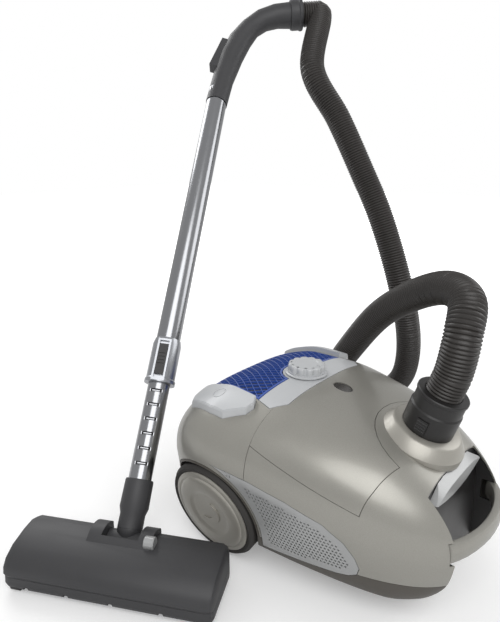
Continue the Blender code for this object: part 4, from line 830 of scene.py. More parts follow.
def build_top():
    bezel = capped("control_bezel", bezel_outline(), 0.4 * MM, WALL, PALE_GREY)
    stem = rod(KNOB_STEM_RADIUS + GAP, -40 * MM, 40 * MM)
    cut(bezel, helper(stem, Matrix.Translation((0, KNOB_Y, KNOB_SEAT_Z))))
    grille = capped("exhaust_grille", grille_outline(), 0.4 * MM, 2.6 * MM, BLUE)
    lattice = helper(grille_openings())
    keep(lattice, space_over(grille_outline(), -3 * MM))
    cut(grille, lattice)
    capped("exhaust_filter", grown(grille_outline(), -6 * MM), -2.9 * MM, 10 * MM, FOAM)
    capped("window_lens", grown(window_outline(), -SEAM / 2), -0.8 * MM, 2.2 * MM, SMOKED)
    for side, word in SIDES:
        name = {"right": "power_pedal", "left": "rewind_pedal"}[word]
        build_pedal(name, pedal_outline(side), side)
    build_knob()
    build_seal()


def build_pedal(name, outline, side):
    """A foot pedal with a rounded edge and a round mark pressed into its top."""
    pedal = capped(name, outline, PEDAL_LIFT - 1.4 * MM, 7 * MM, PALE_GREY)
    for inset, drop in PEDAL_EDGE:
        layer = space_over(outline, -inset)
        keep(layer, body_form(drop - PEDAL_LIFT))
        cut(layer, body_form(4 * MM))
        join(pedal, layer)
    ring = ringed(((7.4, 100), (8.6, 100), (8.6, 260), (7.4, 260)), 16)
    ring = helper(ring, Matrix.Translation((side * 116 * MM, 14 * MM, 0)))
    cut(ring, body_form(0.6 * MM - PEDAL_LIFT))
    cut(pedal, ring)


PEDAL_EDGE = ((0.4 * MM, 0.6 * MM), (1.2 * MM, 0))


def build_knob():
    """A fluted knob on a round base ring, with a stem down to the speed control."""
    low, high = 2.4 * MM, KNOB_HEIGHT
    rings = []
    edge = (
        (low, 0), (high - 3 * MM, 0), (high - 1.6 * MM, 0.4 * MM), (high - 0.5 * MM, 1.5 * MM),
        (high, 3.4 * MM),
    )
    for height, shrink in edge:
        ring = []
        for angle in turns(KNOB_POINTS):
            flute = FLUTE_DEPTH * (0.5 + 0.5 * math.cos(FLUTES * angle)) ** 2
            radius = KNOB_RADIUS - shrink - flute
            ring.append(Vector((radius * math.cos(angle), radius * math.sin(angle), height)))
        rings.append(ring)
    place = Matrix.Translation((0, KNOB_Y, KNOB_SEAT_Z))
    knob = piece("suction_knob", loft(rings), PALE_GREY, place)
    stem = KNOB_STEM_RADIUS / MM
    profile = ((0, 4), (27, 4), (27, 2.2), (29.5, 1.2), (29.5, 0), (stem, 0), (stem, -9), (0, -9))
    join(knob, helper(ringed(profile, 28), place))
    dish = ringed(((0, 12.9), (15.5, 12.9), (17, 14), (0, 14)), 28)
    mark = box((-0.9 * MM, -24 * MM, 12.5 * MM), (0.9 * MM, -15 * MM, 15 * MM))
    cut(knob, helper(dish, place), helper(mark, place))


def build_seal():
    """The rubber seal under the lid's edge."""
    seal = lid_region(-4 * MM)
    seal = piece("lid_seal", seal.data.copy(), RUBBER)
    keep(seal, body_form(WALL + GAP))
    cut(seal, body_form(WALL + 4 * MM))
    cut(seal, lid_region(-9 * MM))
    cut(seal, space_over(bezel_outline(), 2 * MM))


LATTICE_PITCH = 10.7 * MM
LATTICE_ROW = 7.2 * MM


def grille_openings():
    """Diamond openings in staggered rows across the whole grille."""
    across, along = LATTICE_PITCH / 2 - 0.55 * MM, LATTICE_ROW - 0.7 * MM
    openings = []
    for j in range(-6, 15):
        for i in range(-10, 11):
            x, y = (i + 0.5 * (j % 2)) * LATTICE_PITCH, j * LATTICE_ROW
            corners = diamond(x, y, across, along)
            openings.append([[(*corner, z) for corner in corners] for z in (150 * MM, 260 * MM)])
    return prisms(openings)


build_top()


# ---------------------------------------------------------------- nose and inlet


def build_nose():
    """The bow handle, the recess behind it and the latch at its top."""
    liner = recess_space(WALL + 0.2 * MM)
    liner = piece("handle_recess", liner.data.copy(), BLACK)
    keep(liner, body_form(WALL + 1 * MM))
    cut(liner, recess_space(GAP), BOW_SPACE)
    lens = latch_outline()
    latch = piece("lid_latch", front_prism(lens, -268 * MM, -257.5 * MM), SILVER)
    keep(latch, body_form(WALL + 2 * GAP))
    space = front_prism(grown(lens, SEAM), -280 * MM, -240 * MM)
    cut(liner, helper(space))
    build_bow()


def latch_outline():
    """A lens shape in X and Z, pointed at both ends."""
    low = [(x * MM, (151 - 9 * (1 - (x / 69) ** 2)) * MM) for x in range(-69, 70, 23)]
    high = [(x * MM, (151 + 26 * (1 - (x / 69) ** 2)) * MM) for x in range(46, -47, -23)]
    return low + high


def front_prism(outline, rear, front):
    """An outline in X and Z, extruded along Y."""
    rings = [[Vector((x, y, z)) for x, z in outline] for y in (rear, front)]
    return loft(rings)


def build_bow():
    """The carry handle: a rounded bar swept round the nose between its two seats."""
    rings = []
    steps = 14
    span = math.asin(BOW_SEAT_DROP / BOW_REACH)
    for i in range(steps + 1):
        angle = -span - (math.pi - 2 * span) * i / steps
        share = math.sin(math.pi * i / steps)
        cosine, sine = math.cos(angle), math.sin(angle)
        spot = Vector((BOW_SPREAD * cosine, BOW_MIDDLE_Y + BOW_REACH * sine, 0))
        outward = Vector((cosine / BOW_SPREAD, sine / BOW_REACH, 0)).normalized()
        half_height = (BOW_HIGH - BOW_LOW) / 2 - 2 * MM * share
        middle = (BOW_HIGH + BOW_LOW) / 2 + 3 * MM * share
        ring = []
        for turn in turns(12):
            deep = squared(math.cos(turn), 0.7) * BOW_DEPTH / 2
            tall = squared(math.sin(turn), 0.7) * half_height
            ring.append(spot + outward * (deep - BOW_DEPTH / 2) + Vector((0, 0, middle + tall)))
        rings.append(ring)
    bow = piece("carry_handle", loft(rings), TAUPE)
    keep(bow, helper(box((-BOW_END_X, -FAR, 0), (BOW_END_X, -200 * MM, FAR))))


def build_inlet():
    """The inlet's collar and duct, and the hose's cuff with its two release buttons."""
    profile = ((28, 9), (40, 9), (43, 7.5), (52, -6), (52, -30), (28, -30))
    collar = piece("inlet_collar", ringed(profile, 28), HUB, INLET_FRAME)
    cut(collar, body_form(-GAP))
    bore, wall = INLET_BORE / MM, DUCT_RADIUS / MM
    profile = ((bore, 8), (wall, 8), (wall, -45), (bore, -45))
    piece("inlet_duct", ringed(profile, 20), BLACK, INLET_FRAME)
    cuff_axis = pivot(INLET_FRAME)
    neck = bore - 2 * GAP / MM
    ring = CUFF_RADIUS / MM
    seat = HOSE_DIAMETER / 2 / MM + 0.6
    top = CUFF_END / MM
    profile = (
        (20, -10), (neck, -10), (neck, 9.4), (ring + 1.5, 9.4), (ring + 1.5, 38), (ring, 40),
        (ring, top - 5), (ring + 1.2, top - 4), (ring + 1.2, top - 1), (ring + 0.2, top),
        (seat, top),
        (seat, HOSE_SEAT / MM), (20, HOSE_SEAT / MM),
    )
    cuff = piece("hose_cuff", ringed(profile, 24), BLACK, parent=cuff_axis)
    for side, word in SIDES:
        low = (BUTTON_INNER, -BUTTON_WIDE / 2, BUTTON_LOW)
        high = (CUFF_RADIUS + BUTTON_PROUD, BUTTON_WIDE / 2, BUTTON_HIGH)
        hole = box([v - GAP - BUTTON_TRAVEL * (i == 0) for i, v in enumerate(low)],
                   [v + GAP for v in high])
        turn = Matrix.Rotation(0 if side > 0 else math.pi, 4, "Z")
        cut(cuff, helper(hole, turn, cuff_axis))
        button = piece("cuff_button_" + word, box(low, high), BLACK, turn, cuff_axis)
        grips = helper(button_grips(), turn, cuff_axis)
        join(button, grips)


def button_grips():
    """Cross ribs on the face of a cuff button."""
    face = CUFF_RADIUS + BUTTON_PROUD
    half = BUTTON_WIDE / 2 - 1 * MM
    ribs = []
    for i in range(4):
        z = BUTTON_LOW + (3 + 3.6 * i) * MM
        section = [
            (face - 0.5 * MM, z - 1 * MM), (face + 1 * MM, z), (face - 0.5 * MM, z + 1 * MM),
        ]
        ribs.append([[(x, y, h) for x, h in section] for y in (-half, half)])
    return prisms(ribs)


build_nose()
build_inlet()


# ---------------------------------------------------------------- running gear


def build_wheels():
    outer = WHEEL_RADIUS / MM
    rim = (WHEEL_RADIUS - TYRE_DEPTH) / MM
    deep = WHEEL_WIDTH / MM
    hub = rim - GAP / MM
    bore = (AXLE_RADIUS + GAP) / MM
    axle = AXLE_RADIUS / MM
    tyre = (
        (rim, -1), (rim + 4, 0), (outer - 3, -0.6), (outer, -TYRE_SHOULDER / MM),
        (outer, 3 - deep),
        (outer - 3, -deep), (rim, -deep),
    )
    disc = (
        (bore, -deep), (14, -deep), (14, -9), (rim - 6, -9), (rim - 6, 1 - deep), (hub, 1 - deep),
        (hub, -2.2), (rim - 5, -2.2), (rim - 5, -5.8), (bore, -5.8),
    )
    cap = (
        (0, 1.2), (28, 1.2), (30.5, 1.6), (33.5, 3.1), (35.5, 3.5), (42, 3.5), (48, 2.9),
        (53, 1.7), (54, 0.7), (55, 0.7), (56, 1.2), (59, 0.6), (rim - 0.8, -0.4),
        (rim - 0.6, -1.9), (rim - 5.3, -1.9),
        (rim - 5.3, -5.5), (0, -5.5),
    )
    flange = -deep - 5 - WALL / MM - 0.3
    pin = ((0, -36), (10, -36), (10, flange), (axle, flange), (axle, -5.8), (0, -5.8))
    for side, word in SIDES:
        place = wheel_frame(side)
        piece("wheel_axle_" + word, ringed(pin, 14), STEEL, place)
        axis = pivot(place)
        piece("rear_tyre_" + word, ringed(tyre, 24), RUBBER, parent=axis)
        piece("rear_hub_" + word, ringed(disc, 24), BLACK, parent=axis)
        piece("hub_cap_" + word, ringed(cap, 24), HUB, parent=axis)
        crescent = rod(CRESCENT_RADIUS, 0.9 * MM, 2.6 * MM, 24)
        crescent = extra("hub_crescent_" + word, "hub_cap_" + word, crescent, HUB, None, axis)
        bite = rod(CRESCENT_RADIUS, -10 * MM, 10 * MM, 24)
        bite = helper(bite, Matrix.Translation((9 * MM, -5 * MM, 0)), axis)
        cut(crescent, bite)


def build_caster():
    """A swivelling fork on a moulded stem in the base, with a small wheel on a steel pin."""
    swivel = pivot(Matrix.Translation((0, CASTER_Y, 0)))
    stem = CASTER_STEM_RADIUS / MM
    roof = CASTER_WELL_TOP / MM
    head = roof + WALL / MM + 0.3
    profile = (
        (0, roof - 4), (19, roof - 4), (19, roof - 1), (stem + 2, roof - 0.3), (stem, roof - 0.3),
        (stem, head), (stem + 2.5, head), (stem + 2.5, head + 1.5), (0, head + 1.5),
    )
    fork = piece("caster_fork", ringed(profile, 20), BLACK, parent=swivel)
    inner = CASTER_WIDTH / 2 + GAP * 2
    outline = (
        (-9 * MM, CASTER_WELL_TOP - 3 * MM), (-2 * MM, CASTER_RADIUS - 6 * MM),
        (CASTER_TRAIL, CASTER_RADIUS - 6.5 * MM), (CASTER_TRAIL + 6 * MM, CASTER_RADIUS),
        (16 * MM, CASTER_WELL_TOP - 3 * MM),
    )
    for side, _ in SIDES:
        low, high = sorted((side * inner, side * (inner + 3 * MM)))
        cheek = side_prism(outline, low, high)
        join(fork, helper(cheek, parent=swivel))
    place = along_x((0, CASTER_TRAIL, CASTER_RADIUS))
    pin_hole = rod(CASTER_AXLE_RADIUS + GAP, -40 * MM, 40 * MM, 16)
    cut(fork, helper(pin_hole, place, swivel))
    reach = inner + 3 * MM
    piece("caster_axle", rod(CASTER_AXLE_RADIUS, -reach, reach, 16), STEEL, place, swivel)
    axis = pivot(place, swivel)
    half, full = CASTER_WIDTH / 2 / MM, CASTER_RADIUS / MM
    bore = (CASTER_AXLE_RADIUS + GAP) / MM
    profile = (
        (bore, -half), (full - 4, -half), (full - 1, -half + 0.6), (full, -half + 3),
        (full, half - 3),
        (full - 1, half - 0.6), (full - 4, half), (bore, half),
    )
    piece("caster_wheel", ringed(profile, 18), RUBBER, parent=axis)


build_wheels()
build_caster()


# ---------------------------------------------------------------- inside the canister


def build_inside():
    bulkhead = box((-FAR, BULKHEAD_Y - 1.5 * MM, 0), (FAR, BULKHEAD_Y + 1.5 * MM, 215 * MM))
    bulkhead = piece("bulkhead", bulkhead, DARK_TAUPE)
    keep(bulkhead, ROOM)
    motor_place = frame_at(MOTOR_CENTRE, (0, 1, 0), (1, 0, 0))
    hole = helper(rod(30 * MM, -100 * MM, 0, 32), motor_place)
    cut(bulkhead, hole)
    start = BULKHEAD_Y / MM + 1.8
    wide = MOTOR_RADIUS / MM
    profile = (
        (24, start), (wide, start), (wide, -16), (wide - 4, -12), (wide - 9, -12), (wide - 9, 38),
        (wide - 14, 44), (18, 44), (18, 58), (0, 58), (0, start + 12), (24, start + 12),
    )
    piece("motor_unit", ringed(profile, 18), STEEL, motor_place)
    filter_low = (0, BULKHEAD_Y - 8 * MM, 45 * MM)
    filter_high = (100 * MM, BULKHEAD_Y - 1.8 * MM, 145 * MM)
    piece("motor_filter", box(filter_low, filter_high), FOAM)
    build_reel()
    build_bag()
    low = (-20 * MM, BULKHEAD_Y + 1.8 * MM, 202 * MM)
    high = (20 * MM, -28 * MM, KNOB_SEAT_Z - 9 * MM - GAP)
    piece("speed_control", box(low, high), BLACK)
    bush = CORD_BUSH_RADIUS / MM
    profile = ((4.5, -8), (bush, -8), (bush, 0.3), (bush + 3, 0.3), (bush + 2.4, 2.2), (4.5, 2.6))
    piece("cord_outlet", ringed(profile, 14), BLACK, CORD_FRAME)


def build_reel():
    """The mains cord's drum on a stub axle that stands out from a bracket."""
    half, wide = REEL_HALF / MM, REEL_RADIUS / MM
    place = along_x(REEL_CENTRE)
    axis = pivot(place)
    profile = (
        (6.3, -half), (wide, -half), (wide, 2 - half), (34, 2 - half), (34, half - 2),
        (wide, half - 2),
        (wide, half), (6.3, half),
    )
    piece("cord_reel", ringed(profile, 20), BLACK, parent=axis)
    plate_x = REEL_CENTRE.x - REEL_HALF - 0.6 * MM
    floor = BODY_FLOOR[1][1] * MM
    top = REEL_CENTRE.z + 14 * MM
    outline = (
        (REEL_CENTRE.y - 34 * MM, floor), (REEL_CENTRE.y + 34 * MM, floor),
        (REEL_CENTRE.y + 12 * MM, top), (REEL_CENTRE.y - 12 * MM, top),
    )
    bracket = piece("reel_bracket", side_prism(outline, plate_x - 3 * MM, plate_x), STEEL)
    keep(bracket, ROOM)
    axle = rod(6 * MM, -REEL_HALF - 2 * MM, REEL_HALF, 20)
    join(bracket, helper(axle, place))


def build_bag():
    """The paper dust bag under its card collar, resting on the caster well's roof."""
    low = CASTER_WELL_TOP + WALL + 1.5 * MM + 2 * GAP
    rings = []
    for i in range(7):
        share = i / 6
        y = (-206 + 132 * share) * MM
        swell = math.sin(math.pi * (0.12 + 0.76 * share)) ** 0.5
        ring = []
        for turn in turns(16, 0.5):
            across = squared(math.cos(turn), 0.6) * 92 * MM * swell
            tall = squared(math.sin(turn), 0.6) * BAG_HALF_HEIGHT
            ring.append(Vector((across, y, low + BAG_HALF_HEIGHT + tall)))
        rings.append(ring)
    bag = piece("dust_bag", loft(rings), PAPER)
    under = -45 * MM - GAP
    thick = 3 * MM
    above = rod(300 * MM, under - thick - GAP, 200 * MM, 24)
    mouth = rod(20 * MM, -80 * MM, 0, 24)
    mouth = helper(mouth, INLET_FRAME)
    cut(bag, helper(above, INLET_FRAME), mouth)
    collar = box((-36 * MM, -34 * MM, under - thick), (36 * MM, 34 * MM, under))
    cut(piece("bag_collar", collar, CARD, INLET_FRAME), mouth)


build_inside()


# ---------------------------------------------------------------- wand

WAND_AXIS = (WAND_TOP - NECK).normalized()
WAND_FRAME = frame_at(NECK, WAND_AXIS, WAND_ACROSS)
TUBE_TOP = (WAND_TOP - NECK).length


def tube_profile(radius, low, high, wall):
    return ((radius - wall, low), (radius, low), (radius, high), (radius - wall, high))


def build_wand():
    """The telescopic tubes, their sleeve and its latch, and the socket at the foot."""
    upper = tube_profile(UPPER_TUBE_RADIUS, SLEEVE_LOW + 24 * MM, TUBE_TOP + 28 * MM, TUBE_WALL)
    piece("upper_tube", turned(upper, 24), CHROME, WAND_FRAME)
    inner, outer = UPPER_TUBE_RADIUS + GAP, SLEEVE_RADIUS
    guide = LOWER_TUBE_RADIUS + GAP
    step = SLEEVE_LOW + 24 * MM - GAP
    profile = (
        (guide, SLEEVE_LOW), (outer + 1.4 * MM, SLEEVE_LOW),
        (outer + 1.4 * MM, SLEEVE_LOW + 5 * MM),
        (outer, SLEEVE_LOW + 7 * MM), (outer, SLEEVE_HIGH - 8 * MM),
        (inner + 0.8 * MM, SLEEVE_HIGH),
        (inner, SLEEVE_HIGH), (inner, step), (guide, step),
    )
    sleeve = piece("tube_sleeve", turned(profile, 24), STEEL, WAND_FRAME)
    wide, face = 6.5 * MM, SLEEVE_RADIUS + 2.5 * MM
    slot_floor = SLEEVE_RADIUS - 2.2 * MM
    housing = box((-wide - 3 * MM, -face + 0.8 * MM, LATCH_LOW - LATCH_TRAVEL - 4 * MM),
                  (wide + 3 * MM, -slot_floor, LATCH_HIGH + LATCH_TRAVEL + 3 * MM))
    join(sleeve, helper(housing, WAND_FRAME))
    slot_low = (-wide - GAP, -FAR, LATCH_LOW - LATCH_TRAVEL - GAP)
    slot = box(slot_low, (wide + GAP, -slot_floor, LATCH_HIGH + LATCH_TRAVEL + GAP))
    cut(sleeve, helper(slot, WAND_FRAME))
    latch = box((-wide, -face - 0.5 * MM, LATCH_LOW), (wide, -slot_floor - GAP, LATCH_HIGH))
    latch = piece("tube_latch", latch, BLACK, WAND_FRAME)
    for i in range(4):
        z = (LATCH_LOW + LATCH_HIGH) / 2 + (i - 1.5) * 5 * MM
        groove_high = (wide - 2 * MM, -face + 0.5 * MM, z + 0.9 * MM)
        groove = box((-wide + 2 * MM, -FAR, z - 0.9 * MM), groove_high)
        cut(latch, helper(groove, WAND_FRAME))
    lower = tube_profile(LOWER_TUBE_RADIUS, LOWER_TUBE_BOTTOM, LOWER_TUBE_TOP, TUBE_WALL)
    lower = piece("lower_tube", turned(lower, 24), CHROME, WAND_FRAME)
    for i in range(6):
        z = NOTCH_FIRST + i * NOTCH_PITCH
        notch_high = (9 * MM, -LOWER_TUBE_RADIUS + 3.2 * MM, z + 2.2 * MM)
        notch = box((-9 * MM, -FAR, z - 2.2 * MM), notch_high)
        cut(lower, helper(notch, WAND_FRAME))
        saddle = rod(4 * MM, -5.5 * MM, 5.5 * MM, 16)
        place = WAND_FRAME @ along_x((0, -LOWER_TUBE_RADIUS + 6.2 * MM, z))
        join(lower, helper(saddle, place))
    bore = LOWER_TUBE_RADIUS + GAP
    profile = (
        (13.7 * MM, -6 * MM), (16.6 * MM, -6 * MM), (16.6 * MM, 12 * MM), (19.2 * MM, 20 * MM),
        (18.8 * MM, SOCKET_HIGH - 2 * MM), (18 * MM, SOCKET_HIGH), (bore, SOCKET_HIGH),
        (bore, LOWER_TUBE_BOTTOM - GAP), (13.7 * MM, LOWER_TUBE_BOTTOM - GAP),
    )
    piece("neck_tube", turned(profile, 20), GRAPHITE, WAND_FRAME)


def handle_point(along, across):
    return Vector((across * MM, 0, TUBE_TOP + along * MM))


def handle_rings(halves, widths, extend, sides=16):
    """Rings of the handle's tube, square to its middle line, with its two ends drawn out."""
    spots = [handle_point(*spot) for spot in HANDLE_LINE]
    rings = []
    for i, spot in enumerate(spots):
        before, after = spots[max(i - 1, 0)], spots[min(i + 1, len(spots) - 1)]
        forward = (after - before).normalized()
        sideways = Vector((0, 1, 0)).cross(forward)
        if i in (0, len(spots) - 1):
            spot = spot + forward * (extend if i else -extend)
        ring = []
        for turn in turns(sides):
            level = Vector((0, math.sin(turn) * widths[i], 0))
            ring.append(spot + sideways * math.cos(turn) * halves[i] + level)
        rings.append(ring)
    return rings


def build_handle():
    halves = [value * MM for value in HANDLE_HALF]
    widths = [value * MM for value in HANDLE_HALF_WIDTH]
    handle = piece("handle", loft(handle_rings(halves, widths, 0)), GRAPHITE, WAND_FRAME)
    count = len(HANDLE_LINE)
    bore = loft(handle_rings([HANDLE_BORE] * count, [HANDLE_BORE] * count, 4 * MM, 12))
    cut(handle, helper(bore, WAND_FRAME))
    socket = rod(UPPER_TUBE_RADIUS + GAP, TUBE_TOP - 10 * MM, TUBE_TOP + 28 * MM + GAP, 24)
    cut(handle, helper(socket, WAND_FRAME))
    rail = handle_point(BLEED_ALONG, BLEED_ACROSS)
    lean = Matrix.Rotation(BLEED_LEAN, 4, "Y")
    place = WAND_FRAME @ Matrix.Translation(rail) @ lean
    low, high = (-9 * MM, -10 * MM, -36 * MM), (6 * MM, 10 * MM, 30 * MM)
    housing = box(low, high)
    join(handle, helper(housing, place))
    slot = box((-20 * MM, -7 * MM, -30 * MM), (-6 * MM, 7 * MM, 24 * MM))
    cut(handle, helper(slot, place))
    axis = pivot(place)
    slider = box((-10 * MM, -6.7 * MM, -8 * MM), (-6.3 * MM, 6.7 * MM, 22 * MM))
    piece("bleed_slider", slider, GRAPHITE, parent=axis)


def build_collar():
    """The collar that turns on the handle's end and carries the hose."""
    end = handle_point(*HANDLE_LINE[-1])
    forward = (end - handle_point(*HANDLE_LINE[-2])).normalized()
    place = WAND_FRAME @ frame_at(end + forward * GAP, forward, (0, 1, 0))
    axis = pivot(place)
    seat = HOSE_DIAMETER / 2 / MM + 0.6
    profile = (
        (12, -8), (12, 0), (25.5, 0), (26.5, 3), (26.5, 15), (28, 17), (28, 20), (27, 22),
        (seat, 22),
        (seat, 12), (10.6, 12), (10.6, -8),
    )
    piece("hose_end_collar", ringed(profile, 20), GRAPHITE, parent=axis)
    return place


build_wand()
build_handle()
COLLAR_PLACE = build_collar()


# ---------------------------------------------------------------- floor head

ELBOW_CENTRE = NECK - WAND_AXIS * ELBOW_DOWN
HEAD_AXIS = Vector((WAND_AXIS.y, -WAND_AXIS.x, 0)).normalized()
HEAD_BACK = Vector((-HEAD_AXIS.y, HEAD_AXIS.x, 0))
HEAD_ORIGIN = Vector((ELBOW_CENTRE.x, ELBOW_CENTRE.y, 0)) - HEAD_BACK * HEAD_ELBOW_BEHIND
HEAD_FRAME = frame_at(HEAD_ORIGIN, (0, 0, 1), HEAD_AXIS)


LIP_NOTCHES = (-104, -50, 8, 72)


def head_loft(section, half, ends):
    """A section in Y and Z swept along the head, drawn in towards its two ends."""
    rings = []
    for x, share in ends:
        ring = []
        for y, z in section:
            y, z = y * share + 2 * (1 - share), 22 + (z - 22) * share
            ring.append(Vector((x * half, y * MM, z * MM)))
        rings.append(ring)
    return loft(rings)


def along_head(mesh, y, z, x=0.0):
    """A helper turned about a line along the head."""
    place = HEAD_FRAME @ along_x((x, y, z))
    return helper(mesh, place)


def build_head():
    half = HEAD_LENGTH / 2
    elbow_y, elbow_z = HEAD_ELBOW_BEHIND, ELBOW_CENTRE.z
    ends = ((-1, 0.82), (-0.985, 0.94), (-0.94, 1), (0.94, 1), (0.985, 0.94), (1, 0.82))
    cover = piece("head_cover", head_loft(HEAD_SECTION, half, ends), GRAPHITE, HEAD_FRAME)
    hump = rod(29 * MM, -42 * MM, 42 * MM, 28)
    hump = along_head(hump, elbow_y - 6 * MM, elbow_z - 4 * MM)
    join(cover, hump)
    trim = helper(box((-FAR, -FAR, 22.4 * MM), (FAR, 43 * MM, FAR)), HEAD_FRAME)
    keep(cover, trim)
    chamber = rod(BRUSH_RADIUS + 3 * MM, -BRUSH_HALF - 3 * MM, BRUSH_HALF + 3 * MM, 20)
    chamber = along_head(chamber, *BRUSH_PLACE)
    shaft_reach = BRUSH_HALF + BRUSH_SHAFT_REACH + GAP
    seats = rod(BRUSH_SHAFT_RADIUS + GAP, -shaft_reach, shaft_reach)
    seats = along_head(seats, *BRUSH_PLACE)
    cut(cover, chamber, seats)
    pocket_low = (-BARREL_HALF - GAP * 2, elbow_y - 20 * MM, 15 * MM)
    pocket_high = (BARREL_HALF + GAP * 2, 80 * MM, 100 * MM)
    pocket = helper(box(pocket_low, pocket_high), HEAD_FRAME)
    ears = rod(TRUNNION_RADIUS + GAP, -36 * MM, 36 * MM)
    ears = along_head(ears, elbow_y, elbow_z)
    cut(cover, pocket, ears)
    sole = piece("head_sole", head_loft(SOLE_SECTION, half, ends), GRAPHITE, HEAD_FRAME)
    slot_low = (-BRUSH_HALF - 3 * MM, BRUSH_PLACE[0] - 17 * MM, -FAR)
    slot_high = (BRUSH_HALF + 3 * MM, BRUSH_PLACE[0] + 17 * MM, FAR)
    cut(sole, helper(box(slot_low, slot_high), HEAD_FRAME), chamber, seats)
    for x in LIP_NOTCHES:
        notch = box(((x - 3) * MM, -60 * MM, 0), ((x + 3) * MM, -36 * MM, 11.5 * MM))
        cut(sole, helper(notch, HEAD_FRAME))
    plug = HEAD_FRAME @ along_x((34 * MM, 10 * MM, 62 * MM))
    profile = ((0, 0), (7.5, 0), (8, 0.6), (8, 12), (7.2, 13), (0, 13))
    extra("head_plug", "head_cover", ringed(profile, 16), SILVER, plug)
    brush = brush_mesh()
    brush_place = HEAD_FRAME @ along_x((0, *BRUSH_PLACE))
    piece("brush_roll", brush, BLUE, brush_place)
    build_rollers(sole, cover)
    build_elbow()


def brush_mesh():
    """A roller with six twisted rows of bristle, drawn as one fluted form."""
    rings = []
    steps = 8
    for i in range(steps):
        z = (2 * i / (steps - 1) - 1) * BRUSH_HALF
        twist = BRUSH_TWIST * abs(z) / BRUSH_HALF
        ring = []
        for k, angle in enumerate(turns(BRUSH_POINTS)):
            tall = BRUSH_RADIUS if k % 3 == 0 else BRUSH_CORE
            spot = (tall * math.cos(angle + twist), tall * math.sin(angle + twist), z)
            ring.append(Vector(spot))
        rings.append(ring)
    for end in (-1, 1):
        for z in (BRUSH_HALF, BRUSH_HALF + BRUSH_SHAFT_REACH):
            shaft = []
            for angle in turns(BRUSH_POINTS):
                angle += BRUSH_TWIST
                x, y = BRUSH_SHAFT_RADIUS * math.cos(angle), BRUSH_SHAFT_RADIUS * math.sin(angle)
                shaft.append(Vector((x, y, end * z)))
            rings.insert(0 if end < 0 else len(rings), shaft)
    return loft(rings)


def build_rollers(sole, cover):
    """Two wheels at the front corners and two rollers behind, drawn as plain cylinders without
    their ribs.
    """
    for side, word in SIDES:
        front = (side * 121 * MM, -34 * MM, 6.6 * MM)
        rear = (side * 68 * MM, 30 * MM, ROLLER_RADIUS)
        spots = (
            ("head_wheel_" + word, 6.6 * MM, 6 * MM, front, BLACK),
            ("rear_roller_" + word, ROLLER_RADIUS, 17 * MM, rear, SILVER),
        )
        for name, radius, half, spot, material in spots:
            where = HEAD_FRAME @ along_x(spot)
            axis = pivot(where)
            space = rod(radius + 1.2 * MM, -half - GAP * 2, half + GAP * 2)
            space = helper(space, parent=axis)
            cut(sole, space)
            cut(cover, space)
            piece(name, rod(radius, -half, half, 20), material, parent=axis)


def build_elbow():
    """The swivelling elbow: a spigot up into the neck and a barrel on two trunnions."""
    down = -ELBOW_DOWN
    profile = (
        (10 * MM, 22 * MM), (13.4 * MM, 22 * MM), (13.4 * MM, -6.3 * MM), (16.6 * MM, -6.3 * MM),
        (16.6 * MM, -9 * MM), (12 * MM, down + 2 * MM), (0, down), (0, down + 8 * MM),
        (10 * MM, down + 9 * MM),
    )
    elbow = piece("elbow", turned(profile, 18), GRAPHITE, WAND_FRAME)
    barrel_place = frame_at(ELBOW_CENTRE, HEAD_AXIS, WAND_AXIS)
    ear, wide = TRUNNION_RADIUS / MM, BARREL_RADIUS / MM
    half = BARREL_HALF / MM
    reach = half + 9
    profile = (
        (0, -reach), (ear, -reach), (ear, -half), (wide, -half), (wide, half), (ear, half),
        (ear, reach),
        (0, reach),
    )
    join(elbow, helper(ringed(profile, 18), barrel_place))


build_head()


# ---------------------------------------------------------------- hose

INLET_AXIS = INLET_FRAME.col[2].to_3d()
COLLAR_AXIS = COLLAR_PLACE.col[2].to_3d()
HOSE_START = INLET + INLET_AXIS * (HOSE_SEAT + GAP)
HOSE_FINISH = COLLAR_PLACE.translation + COLLAR_AXIS * (12 * MM + GAP)


def smooth_route():
    """Points along the hose's middle line, an even step apart."""
    spots = [HOSE_START, HOSE_START + INLET_AXIS * HOSE_DIAMETER]
    spots += [Vector(spot) for spot in in_mm(*HOSE_ROUTE)]
    spots += [HOSE_FINISH + COLLAR_AXIS * HOSE_DIAMETER, HOSE_FINISH]
    fine = []
    for i in range(len(spots) - 1):
        a, b = spots[i], spots[i + 1]
        before = spots[i - 1] if i else a - (b - a)
        after = spots[i + 2] if i + 2 < len(spots) else b + (b - a)
        straight = i in (0, len(spots) - 2)
        for k in range(12):
            t = k / 12
            if straight:
                fine.append(a.lerp(b, t))
                continue
            start, end = (b - before) / 2, (after - a) / 2
            point = a * (2 * t**3 - 3 * t**2 + 1) + start * (t**3 - 2 * t**2 + t)
            fine.append(point + b * (3 * t**2 - 2 * t**3) + end * (t**3 - t**2))
    fine.append(spots[-1])
    return fine


def spaced(points, count):
    """The same line read at a count of points an even distance apart."""
    reach = [0.0]
    for a, b in zip(points, points[1:]):
        reach.append(reach[-1] + (b - a).length)
    found = []
    index = 0
    for i in range(count):
        want = reach[-1] * i / (count - 1)
        while index < len(points) - 2 and reach[index + 1] < want:
            index += 1
        share = (want - reach[index]) / (reach[index + 1] - reach[index])
        found.append(points[index].lerp(points[index + 1], share))
    return found, reach[-1]


